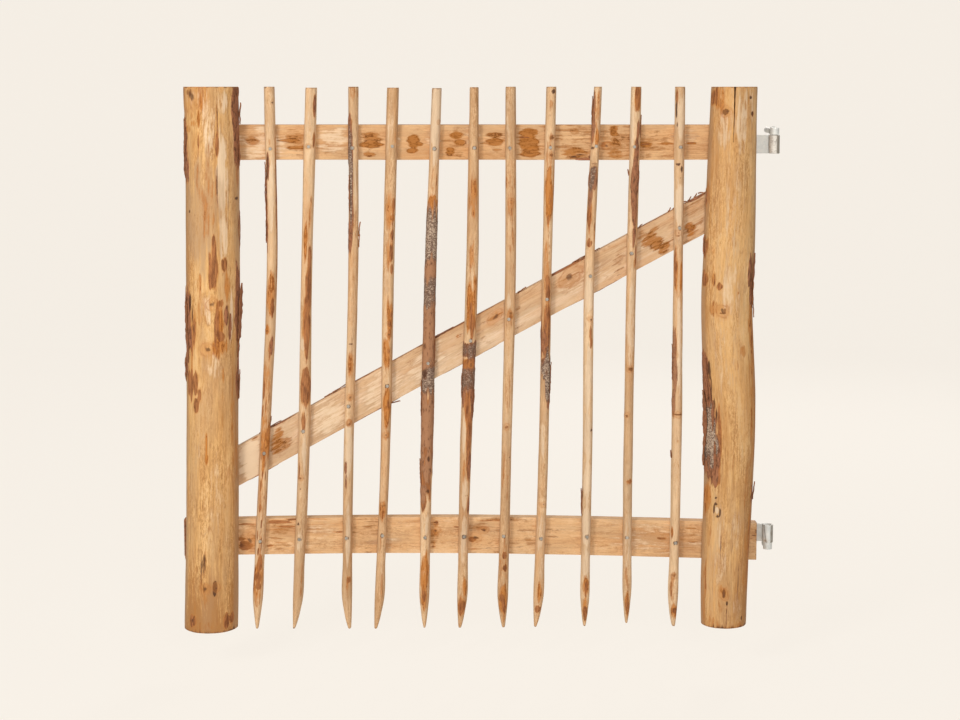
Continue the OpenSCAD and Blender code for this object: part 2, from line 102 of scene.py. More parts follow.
MARKS = {
    "latch_stile": {
        "bark": [
            (-0.97, 1085, 0.16, 48, 1), (-0.88, 1035, 0.12, 42, 0.9), (0.93, 1150, 0.13, 70, 1),
            (0.97, 1075, 0.10, 60, 1), (-0.92, 715, 0.17, 48, 0.9), (-0.80, 660, 0.18, 36, 0.8),
            (0.58, 712, 0.08, 24, 1.1), (0.95, 730, 0.12, 95, 0.9), (-0.98, 590, 0.14, 32, 0.8),
            (0.98, 560, 0.07, 55, 0.9), (-1.0, 185, 0.07, 30, 0.6), (1.05, 900, 0.1, 50, 0.6)
        ],
        "bast": [
            (0.16, 845, 0.10, 42, 1), (0.15, 805, 0.20, 42, 1), (0.53, 818, 0.11, 17, 0.8),
            (0.30, 1076, 0.08, 28, 1), (0.31, 1130, 0.035, 36, 0.35), (0.28, 700, 0.07, 42, 0.9),
            (0.44, 662, 0.14, 12, 0.9), (0.42, 735, 0.12, 9, 0.9), (-0.74, 556, 0.13, 34, 1),
            (-0.52, 560, 0.11, 30, 1), (-0.36, 535, 0.08, 26, 0.9), (-0.50, 512, 0.12, 18, 1),
            (-0.84, 690, 0.12, 70, 1), (-0.62, 668, 0.16, 50, 0.75), (0.22, 672, 0.05, 42, 0.8),
            (-0.60, 30, 0.15, 17, 1), (0.64, 30, 0.11, 16, 0.9), (0.83, 35, 0.07, 13, 1),
            (-0.37, 1085, 0.06, 20, 0.6), (-0.45, 572, 0.18, 12, 0.6), (0.95, 1010, 0.05, 30, 0.5)
        ],
        "stain": [
            (-0.12, 965, 0.40, 100, 0.5), (0.12, 930, 0.10, 60, 0.6), (-0.25, 1165, 0.06, 24, 0.8),
            (-0.36, 1132, 0.08, 20, 0.8), (-0.55, 1122, 0.12, 11, 0.7), (-0.78, 1110, 0.14, 9, 0.6),
            (-0.50, 1160, 0.05, 20, 0.5), (-0.62, 1138, 0.10, 10, 0.5), (-0.10, 425, 0.06, 34, 1),
            (-0.11, 395, 0.09, 14, 0.9), (-0.40, 780, 0.15, 22, 0.6), (0.52, 578, 0.04, 22, 0.7),
            (0.74, 362, 0.16, 22, 0.45), (-0.50, 1072, 0.30, 30, 0.4), (-0.12, 108, 0.22, 42, 0.5),
            (-0.13, 166, 0.08, 30, 0.55), (-0.55, 1150, 0.38, 20, 0.3), (0.0, 16, 1.0, 16, 0.35),
            (0.62, 355, 0.05, 30, 0.6), (-0.30, 720, 0.2, 50, 0.5), (0.5, 500, 0.06, 60, 0.5),
            (0.88, 500, 0.12, 300, 0.5), (0.62, 770, 0.12, 50, 0.7), (0.40, 695, 0.16, 42, 0.8),
            (0.40, 640, 0.3, 26, 0.7), (-0.75, 620, 0.12, 60, 0.6)
        ],
        "cream": [
            (0.02, 1118, 0.28, 78, 0.45), (0.47, 1010, 0.19, 96, 0.9), (0.50, 890, 0.17, 60, 0.7),
            (-0.05, 725, 0.30, 34, 0.5), (0.50, 1170, 0.2, 26, 0.5), (0.05, 600, 0.4, 34, 0.4),
            (0.76, 700, 0.06, 66, 1), (-0.55, 1175, 0.3, 20, 0.35), (0.3, 300, 0.3, 90, 0.25),
            (-0.5, 420, 0.3, 80, 0.25)
        ],
        "ash": [
            (-0.2, 930, 0.8, 130, 0.7), (-0.95, 880, 0.12, 90, 0.5), (-0.92, 420, 0.12, 150, 0.5),
            (-0.95, 120, 0.12, 120, 0.5)
        ],
        "knot": [
            (-0.70, 1188, 0.10, 9, 0.6), (-0.76, 735, 0.035, 20, 1), (-0.68, 706, 0.035, 24, 1),
            (-0.60, 680, 0.03, 14, 0.9), (0.08, 738, 0.10, 3, 0.7), (0.07, 726, 0.07, 3.5, 0.8),
            (-0.09, 634, 0.13, 7, 0.6), (-0.12, 645, 0.12, 3, 0.4), (0.25, 107, 0.08, 17, 2),
            (0.93, 960, 0.05, 4, 1), (-0.77, 932, 0.03, 3, 0.8), (-0.55, 926, 0.03, 4, 0.5),
            (-0.16, 160, 0.08, 24, 0.6), (-0.14, 108, 0.07, 12, 0.6), (0.05, 130, 0.03, 30, 0.4),
            (-0.60, 31, 0.07, 6, 0.5), (0.33, 1130, 0.03, 60, 0.4), (0.30, 960, 0.03, 110, 0.35),
            (0.72, 1100, 0.03, 120, 0.4), (-0.5, 450, 0.025, 60, 0.3), (0.2, 330, 0.025, 70, 0.3),
            (-0.28, 150, 0.03, 50, 0.5)
        ],
        "knots": [(-0.70, 1188, 44), (0.08, 732, 18), (-0.09, 634, 22), (0.25, 108, 12), (-0.1, 104, 14)]
    },
    "hinge_stile": {
        "bark": [
            (-0.95, 590, 0.13, 32, 0.9), (-0.97, 530, 0.24, 50, 1), (-0.88, 455, 0.34, 80, 1),
            (-0.76, 385, 0.30, 46, 1), (-0.62, 352, 0.16, 22, 0.9), (0.76, 800, 0.09, 40, 0.95),
            (0.84, 755, 0.07, 30, 0.9), (0.90, 312, 0.05, 20, 0.9), (-1.0, 965, 0.06, 30, 0.6),
            (-1.0, 860, 0.08, 20, 0.7)
        ],
        "bast": [
            (-0.86, 1176, 0.14, 22, 0.6), (-0.66, 1166, 0.10, 12, 0.55), (-0.92, 784, 0.09, 18, 0.8),
            (-0.64, 786, 0.08, 17, 0.6), (-0.39, 771, 0.12, 8, 0.9), (-0.70, 848, 0.06, 12, 0.5),
            (0.31, 757, 0.04, 6, 0.7), (-0.50, 420, 0.08, 80, 0.8), (-0.55, 350, 0.14, 20, 0.9),
            (0.72, 1142, 0.05, 5, 0.7), (-0.95, 965, 0.06, 36, 0.5), (-0.12, 95, 0.09, 12, 0.7),
            (-0.24, 104, 0.07, 9, 0.4), (-0.93, 855, 0.08, 24, 0.7)
        ],
        "stain": [
            (-0.70, 1172, 0.30, 30, 0.6), (-0.90, 300, 0.14, 44, 0.7), (-0.60, 722, 0.22, 16, 0.5),
            (-0.10, 85, 0.34, 44, 0.35), (-0.92, 90, 0.12, 90, 0.5), (0.75, 330, 0.25, 120, 0.35),
            (0.45, 630, 0.2, 14, 0.5), (0.88, 560, 0.22, 260, 0.6), (0.85, 180, 0.2, 150, 0.6),
            (-0.75, 240, 0.1, 60, 0.5), (0.2, 600, 0.1, 20, 0.5), (0.0, 590, 0.06, 20, 0.5),
            (0.35, 320, 0.2, 40, 0.4), (-0.25, 215, 0.12, 30, 0.4), (0.3, 130, 0.12, 24, 0.4),
            (-0.6, 20, 0.4, 24, 0.5), (0.4, 10, 0.6, 16, 0.5), (0.1, 400, 0.15, 50, 0.35)
        ],
        "cream": [
            (-0.35, 1112, 0.40, 44, 0.45), (0.24, 1120, 0.26, 60, 0.6), (0.5, 1160, 0.3, 40, 0.45),
            (0.3, 230, 0.25, 60, 0.35), (-0.35, 150, 0.3, 40, 0.33), (0.45, 60, 0.2, 40, 0.35),
            (0.05, 760, 0.45, 60, 0.4), (-0.35, 250, 0.14, 70, 0.38), (-0.52, 278, 0.08, 10, 1),
            (0.0, 930, 0.4, 120, 0.25), (-0.2, 620, 0.4, 120, 0.25)
        ],
        "ash": [(0.05, 1040, 0.9, 60, 0.35), (0.7, 950, 0.3, 120, 0.3), (-0.78, 430, 0.24, 74, 1.15)],
        "knot": [
            (-0.42, 1147, 0.12, 8, 1.2), (0.62, 1177, 0.06, 4, 0.8), (0.70, 1143, 0.05, 4, 0.9),
            (0.58, 1134, 0.05, 3, 0.5), (-0.27, 713, 0.12, 2.5, 0.8), (-0.18, 719, 0.03, 5, 0.6),
            (-0.80, 588, 0.04, 24, 0.9), (-0.76, 545, 0.03, 26, 0.8), (-0.68, 515, 0.03, 20, 0.7),
            (-0.60, 490, 0.03, 20, 0.6), (-0.12, 92, 0.07, 10, 1.6), (0.02, 70, 0.05, 6, 1.1),
            (-0.64, 279, 0.03, 10, 0.8), (-0.41, 274, 0.04, 10, 0.9), (-0.50, 264, 0.08, 3, 0.9),
            (-0.55, 291, 0.09, 3, 0.8), (-0.57, 305, 0.04, 3, 0.9), (0.72, 34, 0.07, 6, 0.5),
            (-0.1, 1083, 0.16, 2.5, 0.5), (0.79, 780, 0.03, 44, 0.6), (-0.3, 205, 0.02, 60, 0.5),
            (0.15, 175, 0.02, 66, 0.45), (0.5, 118, 0.02, 50, 0.5), (-0.6, 130, 0.02, 54, 0.5),
            (0.0, 40, 0.03, 24, 0.6), (0.3, 380, 0.02, 60, 0.4)
        ],
        "knots": [(-0.42, 1147, 16), (-0.25, 717, 20), (-0.12, 92, 16)]
    },
    "top_rail": {
        "stain": [
            (0.15, -1138, 0.50, 17, 0.7), (0.30, -1044, 0.66, 26, 0.65), (-0.45, -1040, 0.35, 22, 0.35),
            (-0.62, -974, 0.10, 16, 0.5), (-0.20, -968, 0.30, 4, 0.4), (0.35, -878, 0.30, 26, 0.7),
            (-0.15, -880, 0.26, 26, 0.9), (-0.62, -884, 0.25, 16, 0.7), (0.05, -787, 0.50, 14, 1),
            (-0.10, -776, 0.16, 12, 1), (-0.50, -790, 0.22, 14, 1), (0.40, -694, 0.34, 17, 1),
            (-0.02, -686, 0.26, 16, 1), (-0.46, -708, 0.30, 13, 1), (0.45, -610, 0.26, 20, 0.7),
            (-0.05, -612, 0.36, 24, 0.85), (-0.45, -606, 0.20, 12, 0.6), (-0.08, -633, 0.07, 14, 0.7),
            (0.50, -536, 0.40, 24, 1), (-0.10, -538, 0.50, 26, 1), (-0.60, -534, 0.35, 26, 0.9),
            (0.60, -438, 0.20, 12, 0.6), (-0.10, -455, 0.30, 26, 0.5), (-0.60, -440, 0.30, 34, 0.8),
            (0.60, -352, 0.32, 12, 0.9), (0.0, -350, 0.30, 16, 0.7), (-0.66, -348, 0.30, 20, 0.7),
            (-0.10, -286, 0.16, 18, 0.8), (-0.55, -276, 0.35, 16, 0.5), (-0.08, -236, 0.07, 22, 0.9),
            (-0.05, -184, 0.08, 12, 1), (0.45, -290, 0.25, 12, 0.3), (0.0, -694, 1.0, 34, 0.42),
            (0.0, -400, 1.3, 240, 0.45), (-0.3, -1040, 0.12, 26, 0.8), (0.1, -1052, 0.1, 26, 0.9)
        ],
        "bast": [
            (-0.15, -374, 0.14, 6, 0.7), (-0.10, -284, 0.07, 12, 0.6), (-0.08, -236, 0.035, 14, 0.9),
            (-0.05, -184, 0.04, 7, 0.8), (0.3, -540, 0.10, 18, 0.4), (-0.3, -540, 0.10, 20, 0.4)
        ],
        "bark": [(-0.98, -412, 0.10, 20, 1), (-0.84, -400, 0.14, 7, 0.9), (1.02, -390, 0.06, 30, 0.5)],
        "cream": [
            (0.0, -1115, 1.3, 60, 0.52), (0.2, -965, 0.80, 36, 0.62), (0.0, -830, 0.9, 14, 0.4),
            (0.2, -745, 0.9, 18, 0.4), (0.2, -660, 0.9, 20, 0.4), (0.3, -200, 0.6, 30, 0.4)
        ],
        "knot": [(-0.70, -425, 0.05, 14, 0.8), (-0.80, -440, 0.04, 10, 0.7), (-0.06, -404, 0.04, 14, 0.6)],
        "knots": [(-0.15, -372, 14)]
    },
    "bottom_rail": {
        "bast": [
            (0.85, -1085, 0.10, 34, 0.7), (0.30, -1172, 0.05, 14, 0.4), (-0.30, -1150, 0.30, 16, 0.5),
            (-0.20, -1155, 0.05, 24, 0.5), (-0.55, -1110, 0.20, 10, 0.6), (0.60, -740, 0.25, 6, 0.5),
            (0.20, -742, 0.20, 5, 0.5), (-0.55, -745, 0.2, 5, 0.4), (-0.20, -660, 0.16, 9, 0.7),
            (0.02, -240, 0.06, 13, 0.9), (0.65, -680, 0.10, 10, 0.5), (0.92, -1000, 0.06, 40, 0.5),
            (0.2, -960, 0.05, 14, 0.4), (0.70, -1160, 0.05, 30, 0.7), (0.35, -1100, 0.04, 30, 0.6),
            (0.88, -905, 0.05, 30, 0.6), (0.62, -1010, 0.03, 30, 0.5), (0.80, -620, 0.04, 34, 0.5),
            (0.45, -690, 0.04, 22, 0.6), (-0.35, -1090, 0.04, 24, 0.6), (0.10, -560, 0.03, 26, 0.5),
            (0.75, -1092, 0.05, 40, 1), (0.55, -1078, 0.04, 36, 0.9), (0.92, -1062, 0.05, 30, 1),
            (-0.5, -1163, 0.25, 18, 0.9), (-0.1, -1174, 0.10, 12, 0.8), (0.55, -520, 0.03, 22, 0.5),
            (-0.75, -660, 0.04, 30, 0.5)
        ],
        "stain": [
            (0.0, -1150, 0.95, 22, 0.5), (0.3, -1090, 0.7, 30, 0.5), (-0.6, -1090, 0.3, 24, 0.5),
            (0.5, -925, 0.5, 22, 0.4), (-0.2, -915, 0.4, 26, 0.35), (0.1, -745, 0.8, 16, 0.5),
            (-0.5, -700, 0.3, 30, 0.3), (0.6, -175, 0.09, 18, 0.7), (0.25, -172, 0.07, 18, 0.6),
            (-0.1, -172, 0.06, 16, 0.6), (-0.45, -175, 0.07, 18, 0.6), (0.2, -385, 0.12, 22, 0.5),
            (-0.05, -380, 0.05, 20, 0.6), (0.0, -600, 1.3, 170, 0.36), (0.0, -240, 0.1, 16, 0.6),
            (0.0, -880, 1.2, 36, 0.36)
        ],
        "bark": [(0.0, -1299, 1.6, 6, 0.9)],
        "knot": [
            (0.30, -635, 0.06, 5, 0.9), (-0.15, -652, 0.07, 8, 0.8), (-0.17, -1010, 0.04, 4, 0.5),
            (0.72, -860, 0.04, 5, 0.4), (0.62, -738, 0.04, 4, 0.6), (0.25, -742, 0.04, 5, 0.6),
            (0.30, -34, 0.02, 8, 0.9), (0.0, -240, 0.03, 10, 0.6)
        ],
        "cream": [
            (0.4, -990, 0.5, 34, 0.4), (-0.4, -860, 0.5, 40, 0.3), (-0.1, -300, 0.6, 60, 0.3),
            (0.1, -200, 1.2, 110, 0.28)
        ],
        "ash": [(0.8, -1160, 0.2, 26, 0.5), (0.4, -640, 0.4, 40, 0.4)],
        "knots": [(0.30, -635, 14), (-0.15, -652, 16), (0.25, -742, 14), (-0.3, -1150, 26)]
    },
    "brace": {
        "stain": [
            (0.1, -1090, 0.85, 18, 0.8), (-0.3, -1074, 0.6, 20, 0.6), (0.5, -795, 0.22, 12, 0.5),
            (0.1, -745, 0.9, 10, 0.5), (0.5, -690, 0.20, 8, 0.4), (0.45, -612, 0.14, 14, 0.5),
            (0.5, -560, 0.5, 8, 0.4), (0.45, -455, 0.06, 30, 0.5), (0.6, -290, 0.30, 14, 0.6),
            (0.2, -272, 0.35, 20, 0.8), (-0.2, -256, 0.35, 18, 0.85), (-0.6, -240, 0.30, 14, 0.8),
            (0.55, -262, 0.25, 14, 0.6), (-0.15, -188, 0.18, 10, 0.85), (-0.50, -182, 0.32, 11, 0.85),
            (-0.6, -178, 0.28, 14, 0.7), (0.0, -340, 0.7, 14, 0.4), (-0.4, -560, 0.3, 20, 0.3),
            (0.1, -640, 0.6, 12, 0.35), (0.1, -185, 1.1, 50, 0.42)
        ],
        "bast": [
            (-0.15, -188, 0.09, 6, 0.7), (-0.55, -180, 0.16, 7, 0.5), (0.62, -608, 0.12, 2.5, 0.6),
            (0.48, -602, 0.04, 14, 0.6), (0.95, -1140, 0.08, 10, 0.7), (0.5, -692, 0.1, 3, 0.5)
        ],
        "bark": [
            (1.06, -1090, 0.10, 46, 0.9), (1.08, -900, 0.10, 90, 0.8), (1.06, -700, 0.1, 110, 0.8),
            (1.06, -450, 0.12, 60, 0.9), (1.08, -260, 0.10, 60, 0.9), (1.04, -170, 0.14, 26, 1),
            (-1.06, -1120, 0.10, 40, 0.8), (-1.06, -870, 0.10, 50, 0.8), (-1.08, -650, 0.08, 60, 0.7),
            (-1.06, -400, 0.08, 80, 0.6)
        ],
        "cream": [
            (0.0, -1150, 1.1, 30, 1), (0.0, -980, 0.9, 60, 0.6), (0.0, -860, 0.9, 50, 0.55),
            (0.0, -760, 0.9, 40, 0.6), (0.0, -420, 0.8, 50, 0.4), (0.1, -215, 0.5, 14, 0.4)
        ],
        "knot": [(0.30, -478, 0.04, 5, 0.4), (0.4, -440, 0.03, 24, 0.3)],
        "knots": [(0.45, -608, 18), (0.4, -445, 30)]
    },
    "pale_01": {
        "bark": [(-0.45, 1034, 0.30, 32, 1.3), (-0.85, 930, 0.18, 84, 1), (0.45, 640, 0.3, 26, 1)],
        "bast": [
            (0.35, 718, 0.35, 22, 0.8), (0.15, 625, 0.3, 30, 0.8), (-0.55, 535, 0.3, 20, 0.8),
            (0.45, 520, 0.1, 18, 1), (-0.1, 500, 0.1, 16, 1), (0.5, 446, 0.12, 16, 1),
            (-0.5, 430, 0.1, 16, 1), (0.0, 412, 0.12, 14, 1), (-0.4, 392, 0.12, 12, 1),
            (0.35, 378, 0.12, 14, 1), (0.5, 346, 0.12, 14, 1), (-0.1, 350, 0.1, 12, 1),
            (0.1, 240, 0.14, 12, 1), (-0.5, 212, 0.12, 14, 1), (0.3, 196, 0.1, 14, 1),
            (-0.3, 176, 0.12, 12, 1), (0.4, 300, 0.1, 12, 1), (-0.60, 492, 0.25, 14, 0.9),
            (0.2, 470, 0.25, 20, 0.7), (-0.3, 325, 0.35, 14, 0.7), (-0.2, 275, 0.35, 12, 0.7),
            (0.2, 150, 0.5, 16, 0.8), (-0.1, 118, 0.6, 12, 0.9), (0.1, 98, 0.6, 8, 0.8),
            (0.0, 60, 0.5, 10, 0.5), (0.9, 900, 0.10, 300, 0.6)
        ],
        "stain": [
            (0.2, 1192, 0.5, 8, 0.5), (0.0, 1080, 0.7, 12, 0.5), (-0.40, 672, 0.45, 12, 0.9),
            (0.0, 745, 0.9, 50, 0.7), (0.0, 560, 0.9, 60, 0.6), (0.0, 430, 1.1, 80, 0.8),
            (0.0, 290, 1.1, 60, 0.5), (0.0, 190, 1.1, 50, 0.4), (0.0, 110, 1.1, 60, 0.75),
            (0.0, 40, 0.6, 30, 0.4)
        ],
        "cream": [(-0.1, 970, 0.8, 80, 0.8), (-0.2, 1140, 0.6, 40, 0.4), (0.3, 180, 0.2, 30, 0.6)],
        "knot": [
            (0.62, 1166, 0.2, 3, 0.8), (-0.4, 668, 0.15, 3, 0.6), (-0.45, 330, 0.16, 5, 0.5),
            (-0.5, 1036, 0.09, 30, 1), (-0.75, 1012, 0.1, 14, 0.8)
        ],
        "knots": [(-0.4, 670, 9)]
    },
    "pale_02": {
        "bark": [(0.72, 1160, 0.2, 24, 0.8)],
        "bast": [
            (0.65, 1160, 0.25, 26, 0.9), (0.7, 1085, 0.25, 18, 0.5), (0.5, 930, 0.35, 40, 0.5),
            (0.45, 760, 0.45, 60, 1), (0.20, 690, 0.55, 70, 0.9), (0.15, 540, 0.75, 44, 1),
            (0.3, 575, 0.4, 14, 1), (-0.1, 470, 0.4, 26, 0.8), (0.55, 830, 0.3, 30, 0.8),
            (-0.6, 362, 0.12, 24, 0.7)
        ],
        "stain": [
            (-0.3, 860, 0.4, 40, 0.8), (0.3, 900, 0.6, 50, 0.5), (-0.2, 700, 0.6, 60, 0.6),
            (-0.2, 600, 0.6, 20, 0.3), (0.6, 110, 0.2, 60, 0.4), (-0.3, 280, 0.5, 20, 0.4)
        ],
        "cream": [
            (-0.2, 1130, 0.7, 60, 0.25), (-0.4, 640, 0.5, 14, 0.8), (0.2, 400, 0.5, 50, 0.6),
            (0.0, 205, 0.6, 30, 0.6)
        ],
        "knot": [
            (-0.15, 1072, 0.25, 4, 0.8), (-0.2, 342, 0.6, 2, 0.7), (-0.3, 318, 0.2, 3, 0.6),
            (-0.4, 239, 0.22, 3.5, 1), (-0.05, 205, 0.22, 3, 0.9)
        ],
        "knots": [(-0.15, 1072, 9), (-0.3, 342, 8)]
    },
    "pale_03": {
        "bark": [
            (-0.66, 1105, 0.42, 34, 1.5), (-0.50, 1060, 0.5, 48, 1.5), (-0.42, 1000, 0.45, 60, 1.5),
            (-0.35, 940, 0.42, 54, 1.5), (-0.5, 890, 0.4, 44, 1.4), (-0.75, 855, 0.2, 20, 0.6),
            (-0.45, 368, 0.3, 14, 0.7), (-0.35, 335, 0.22, 16, 0.4)
        ],
        "bast": [(-0.5, 1122, 0.35, 12, 0.9), (-0.3, 900, 0.5, 20, 0.5), (0.4, 112, 0.4, 12, 0.6)],
        "stain": [
            (0.2, 1185, 0.8, 18, 0.5), (0.4, 900, 0.4, 50, 0.4), (0.1, 590, 0.8, 40, 0.7),
            (0.1, 523, 0.5, 8, 0.5), (0.0, 467, 0.6, 8, 0.5), (0.1, 700, 0.6, 90, 0.2),
            (0.3, 90, 0.5, 40, 0.5)
        ],
        "cream": [(0.4, 990, 0.25, 80, 0.6), (0.0, 400, 0.8, 60, 0.8), (0.2, 220, 0.5, 80, 0.7)],
        "ash": [(0.0, 330, 1.0, 60, 0.25), (-0.3, 180, 0.4, 120, 0.3), (-0.5, 1010, 0.6, 130, 0.7)],
        "knot": [(-0.15, 641, 0.5, 2, 0.6), (0.1, 520, 0.4, 2, 0.4), (0.1, 462, 0.5, 2, 0.4)],
        "knots": [(0.1, 523, 9), (0.1, 465, 9)]
    },
    "pale_04": {
        "bark": [(0.48, 900, 0.2, 50, 0.5)],
        "bast": [
            (0.6, 945, 0.3, 16, 0.9), (0.4, 918, 0.4, 10, 0.9), (0.5, 880, 0.35, 14, 0.8),
            (0.4, 840, 0.35, 26, 0.9), (0.55, 805, 0.25, 14, 0.9), (0.6, 706, 0.2, 8, 0.9),
            (0.3, 685, 0.35, 6, 0.9), (0.3, 662, 0.4, 10, 0.9), (0.35, 625, 0.3, 8, 0.7),
            (0.4, 508, 0.3, 12, 0.6), (0.6, 1100, 0.3, 30, 0.3)
        ],
        "stain": [
            (0.1, 930, 0.8, 60, 0.7), (0.2, 850, 0.7, 60, 0.6), (0.3, 690, 0.6, 70, 0.8),
            (0.0, 620, 0.8, 50, 0.8), (0.1, 500, 0.9, 50, 0.9), (0.2, 440, 0.8, 14, 0.6),
            (0.0, 370, 0.8, 30, 0.4), (0.0, 270, 0.9, 24, 0.6), (0.3, 80, 0.5, 50, 0.4),
            (-0.3, 190, 0.4, 20, 0.4)
        ],
        "cream": [(-0.2, 1100, 0.6, 90, 0.5), (-0.3, 780, 0.5, 40, 0.4), (0.2, 130, 0.3, 40, 0.4)],
        "knot": [
            (0.2, 918, 0.12, 6, 0.7), (0.3, 662, 0.15, 4, 0.7), (0.0, 434, 0.7, 2, 0.5),
            (0.1, 281, 0.7, 2.5, 0.6)
        ],
        "knots": [(0.2, 915, 9), (0.3, 662, 9), (0.0, 436, 9), (0.0, 280, 9)]
    },
    "pale_05": {
        "bark": [
            (0.0, 850, 2.4, 84, 1.6), (0.0, 770, 2.4, 64, 1.3), (0.0, 620, 2.4, 60, 0.9),
            (0.0, 560, 2.4, 50, 1), (0.0, 700, 2.4, 60, 0.75), (0.0, 460, 2.4, 70, 0.95),
            (-0.1, 370, 1.5, 50, 0.85), (-0.3, 310, 0.7, 34, 0.8)
        ],
        "bast": [
            (0.0, 690, 2.4, 70, 0.9), (0.0, 460, 2.4, 90, 1), (-0.2, 350, 1.3, 60, 1),
            (-0.3, 290, 0.6, 26, 1), (0.1, 400, 1.0, 70, 1), (0.1, 135, 0.7, 34, 0.4),
            (0.0, 78, 0.7, 16, 0.6)
        ],
        "stain": [
            (0.1, 985, 0.8, 50, 0.5), (0.0, 948, 1.0, 18, 1), (0.3, 340, 0.3, 50, 0.6),
            (0.0, 130, 0.9, 50, 0.8), (0.0, 70, 0.9, 30, 0.7)
        ],
        "cream": [(0.0, 1130, 1.2, 90, 1.3), (0.1, 1050, 0.8, 30, 0.4), (0.2, 240, 0.6, 30, 0.6)],
        "ash": [
            (0.0, 870, 2.2, 60, 1), (0.2, 755, 1.8, 40, 0.7), (0.3, 560, 1.5, 34, 0.8),
            (0.0, 705, 1.0, 14, 0.4), (0.3, 605, 0.5, 8, 0.5)
        ],
        "knot": [
            (0.3, 385, 0.3, 8, 0.7), (0.2, 312, 0.4, 8, 0.7), (-0.5, 575, 0.4, 12, 0.6),
            (-0.6, 635, 0.3, 10, 0.5)
        ],
        "knots": [(0.65, 1124, 6)]
    },
    "pale_06": {
        "bark": [
            (0.0, 627, 2.4, 19, 1.4), (0.0, 562, 2.4, 26, 1.5), (0.75, 520, 0.4, 50, 1),
            (-0.6, 540, 0.35, 40, 0.9), (0.7, 366, 0.25, 40, 0.8), (0.7, 283, 0.2, 22, 0.7)
        ],
        "bast": [
            (0.05, 715, 0.30, 28, 0.8), (0.25, 680, 0.55, 36, 0.9), (0.0, 594, 2.0, 18, 0.8),
            (0.1, 505, 0.6, 46, 1), (0.45, 440, 0.45, 50, 1), (0.55, 380, 0.35, 40, 0.8),
            (0.0, 52, 0.8, 22, 0.6)
        ],
        "stain": [
            (0.1, 720, 0.9, 80, 0.9), (0.1, 830, 0.7, 50, 0.7), (0.1, 960, 0.8, 60, 0.65),
            (0.0, 594, 2.0, 20, 1), (0.1, 500, 0.8, 60, 0.8), (0.4, 95, 0.5, 26, 0.8),
            (0.0, 55, 0.9, 30, 0.6), (0.5, 930, 0.3, 70, 0.4), (-0.2, 350, 0.4, 30, 0.5)
        ],
        "cream": [(-0.4, 450, 0.4, 50, 0.9), (0.0, 310, 0.6, 40, 0.7), (0.0, 200, 0.7, 60, 0.5)],
        "ash": [(0.0, 1130, 1.0, 70, 0.3), (0.0, 627, 2.4, 24, 0.6), (0.0, 562, 2.4, 30, 0.6)],
        "knot": [(0.35, 594, 0.2, 6, 0.8), (0.35, 303, 0.3, 2.5, 0.5)],
        "knots": [(0.35, 594, 9)]
    },
    "pale_07": {
        "bast": [
            (-0.7, 992, 0.3, 14, 0.6), (0.0, 168, 0.5, 8, 0.9), (0.2, 140, 0.6, 8, 0.7),
            (-0.3, 70, 0.7, 14, 0.6), (0.2, 48, 0.6, 16, 0.8), (0.2, 700, 0.4, 6, 0.7)
        ],
        "stain": [
            (0.0, 1010, 1.0, 50, 0.42), (0.0, 940, 1.0, 50, 0.45), (0.0, 870, 0.8, 40, 0.4),
            (0.3, 780, 0.5, 50, 0.4), (0.0, 700, 0.9, 24, 0.5), (0.0, 545, 0.9, 90, 0.45),
            (0.0, 350, 1.0, 90, 0.35), (0.0, 150, 1.0, 60, 0.45), (0.0, 60, 1.0, 44, 0.75)
        ],
        "cream": [(0.0, 1130, 1.0, 70, 0.4), (-0.3, 730, 0.5, 20, 0.5)],
        "knot": [
            (0.0, 456, 0.5, 2.5, 0.8), (0.2, 708, 0.4, 3, 0.7), (0.05, 958, 0.2, 5, 0.4),
            (0.6, 388, 0.2, 3, 0.5)
        ],
        "knots": [(0.0, 456, 9), (0.1, 955, 9), (0.1, 705, 9)]
    },
    "pale_08": {
        "bark": [
            (0.0, 640, 0.7, 60, 0.6), (0.15, 590, 1.0, 36, 1.4), (0.45, 555, 0.6, 38, 1.3),
            (0.7, 520, 0.35, 24, 0.9), (-0.85, 650, 0.2, 60, 0.7)
        ],
        "bast": [
            (0.1, 760, 0.6, 40, 0.7), (0.1, 690, 0.7, 50, 0.9), (0.1, 640, 0.7, 50, 0.9),
            (0.35, 960, 0.3, 40, 0.5), (0.0, 915, 0.4, 14, 0.6), (0.8, 985, 0.2, 70, 0.5),
            (0.0, 46, 0.8, 9, 0.9)
        ],
        "stain": [
            (0.1, 960, 0.9, 70, 1), (0.0, 1160, 0.4, 14, 0.5), (0.0, 1060, 0.9, 40, 0.5),
            (0.0, 830, 0.9, 60, 0.6), (0.0, 720, 0.9, 50, 0.5), (0.1, 85, 0.7, 26, 0.8),
            (0.4, 300, 0.4, 70, 0.3)
        ],
        "cream": [(0.0, 440, 0.8, 60, 0.6), (0.0, 220, 0.9, 50, 0.5), (0.5, 130, 0.4, 40, 0.5)],
        "ash": [(0.2, 575, 1.2, 60, 1)],
        "knot": [
            (0.45, 1190, 0.4, 6, 0.8), (0.3, 1090, 0.4, 5, 0.7), (0.35, 1053, 0.35, 4, 0.8),
            (0.25, 578, 0.25, 6, 0.6), (0.2, 284, 0.7, 2, 0.4)
        ],
        "knots": [(0.3, 1090, 9), (0.35, 1053, 9), (0.2, 284, 9)]
    },
    "pale_09": {
        "bark": [
            (-0.72, 1158, 0.28, 30, 1.1), (-0.62, 1112, 0.34, 36, 1.2), (-0.1, 1002, 0.95, 30, 1.7),
            (-0.4, 968, 0.5, 24, 1.2), (-0.75, 960, 0.15, 20, 0.5), (-0.95, 285, 0.16, 34, 0.8)
        ],
        "bast": [
            (-0.6, 1140, 0.34, 50, 0.9), (-0.5, 920, 0.5, 28, 0.9), (-0.3, 862, 0.6, 10, 0.8),
            (0.7, 885, 0.2, 22, 0.5), (0.3, 666, 0.4, 18, 0.8), (0.6, 645, 0.25, 12, 0.8),
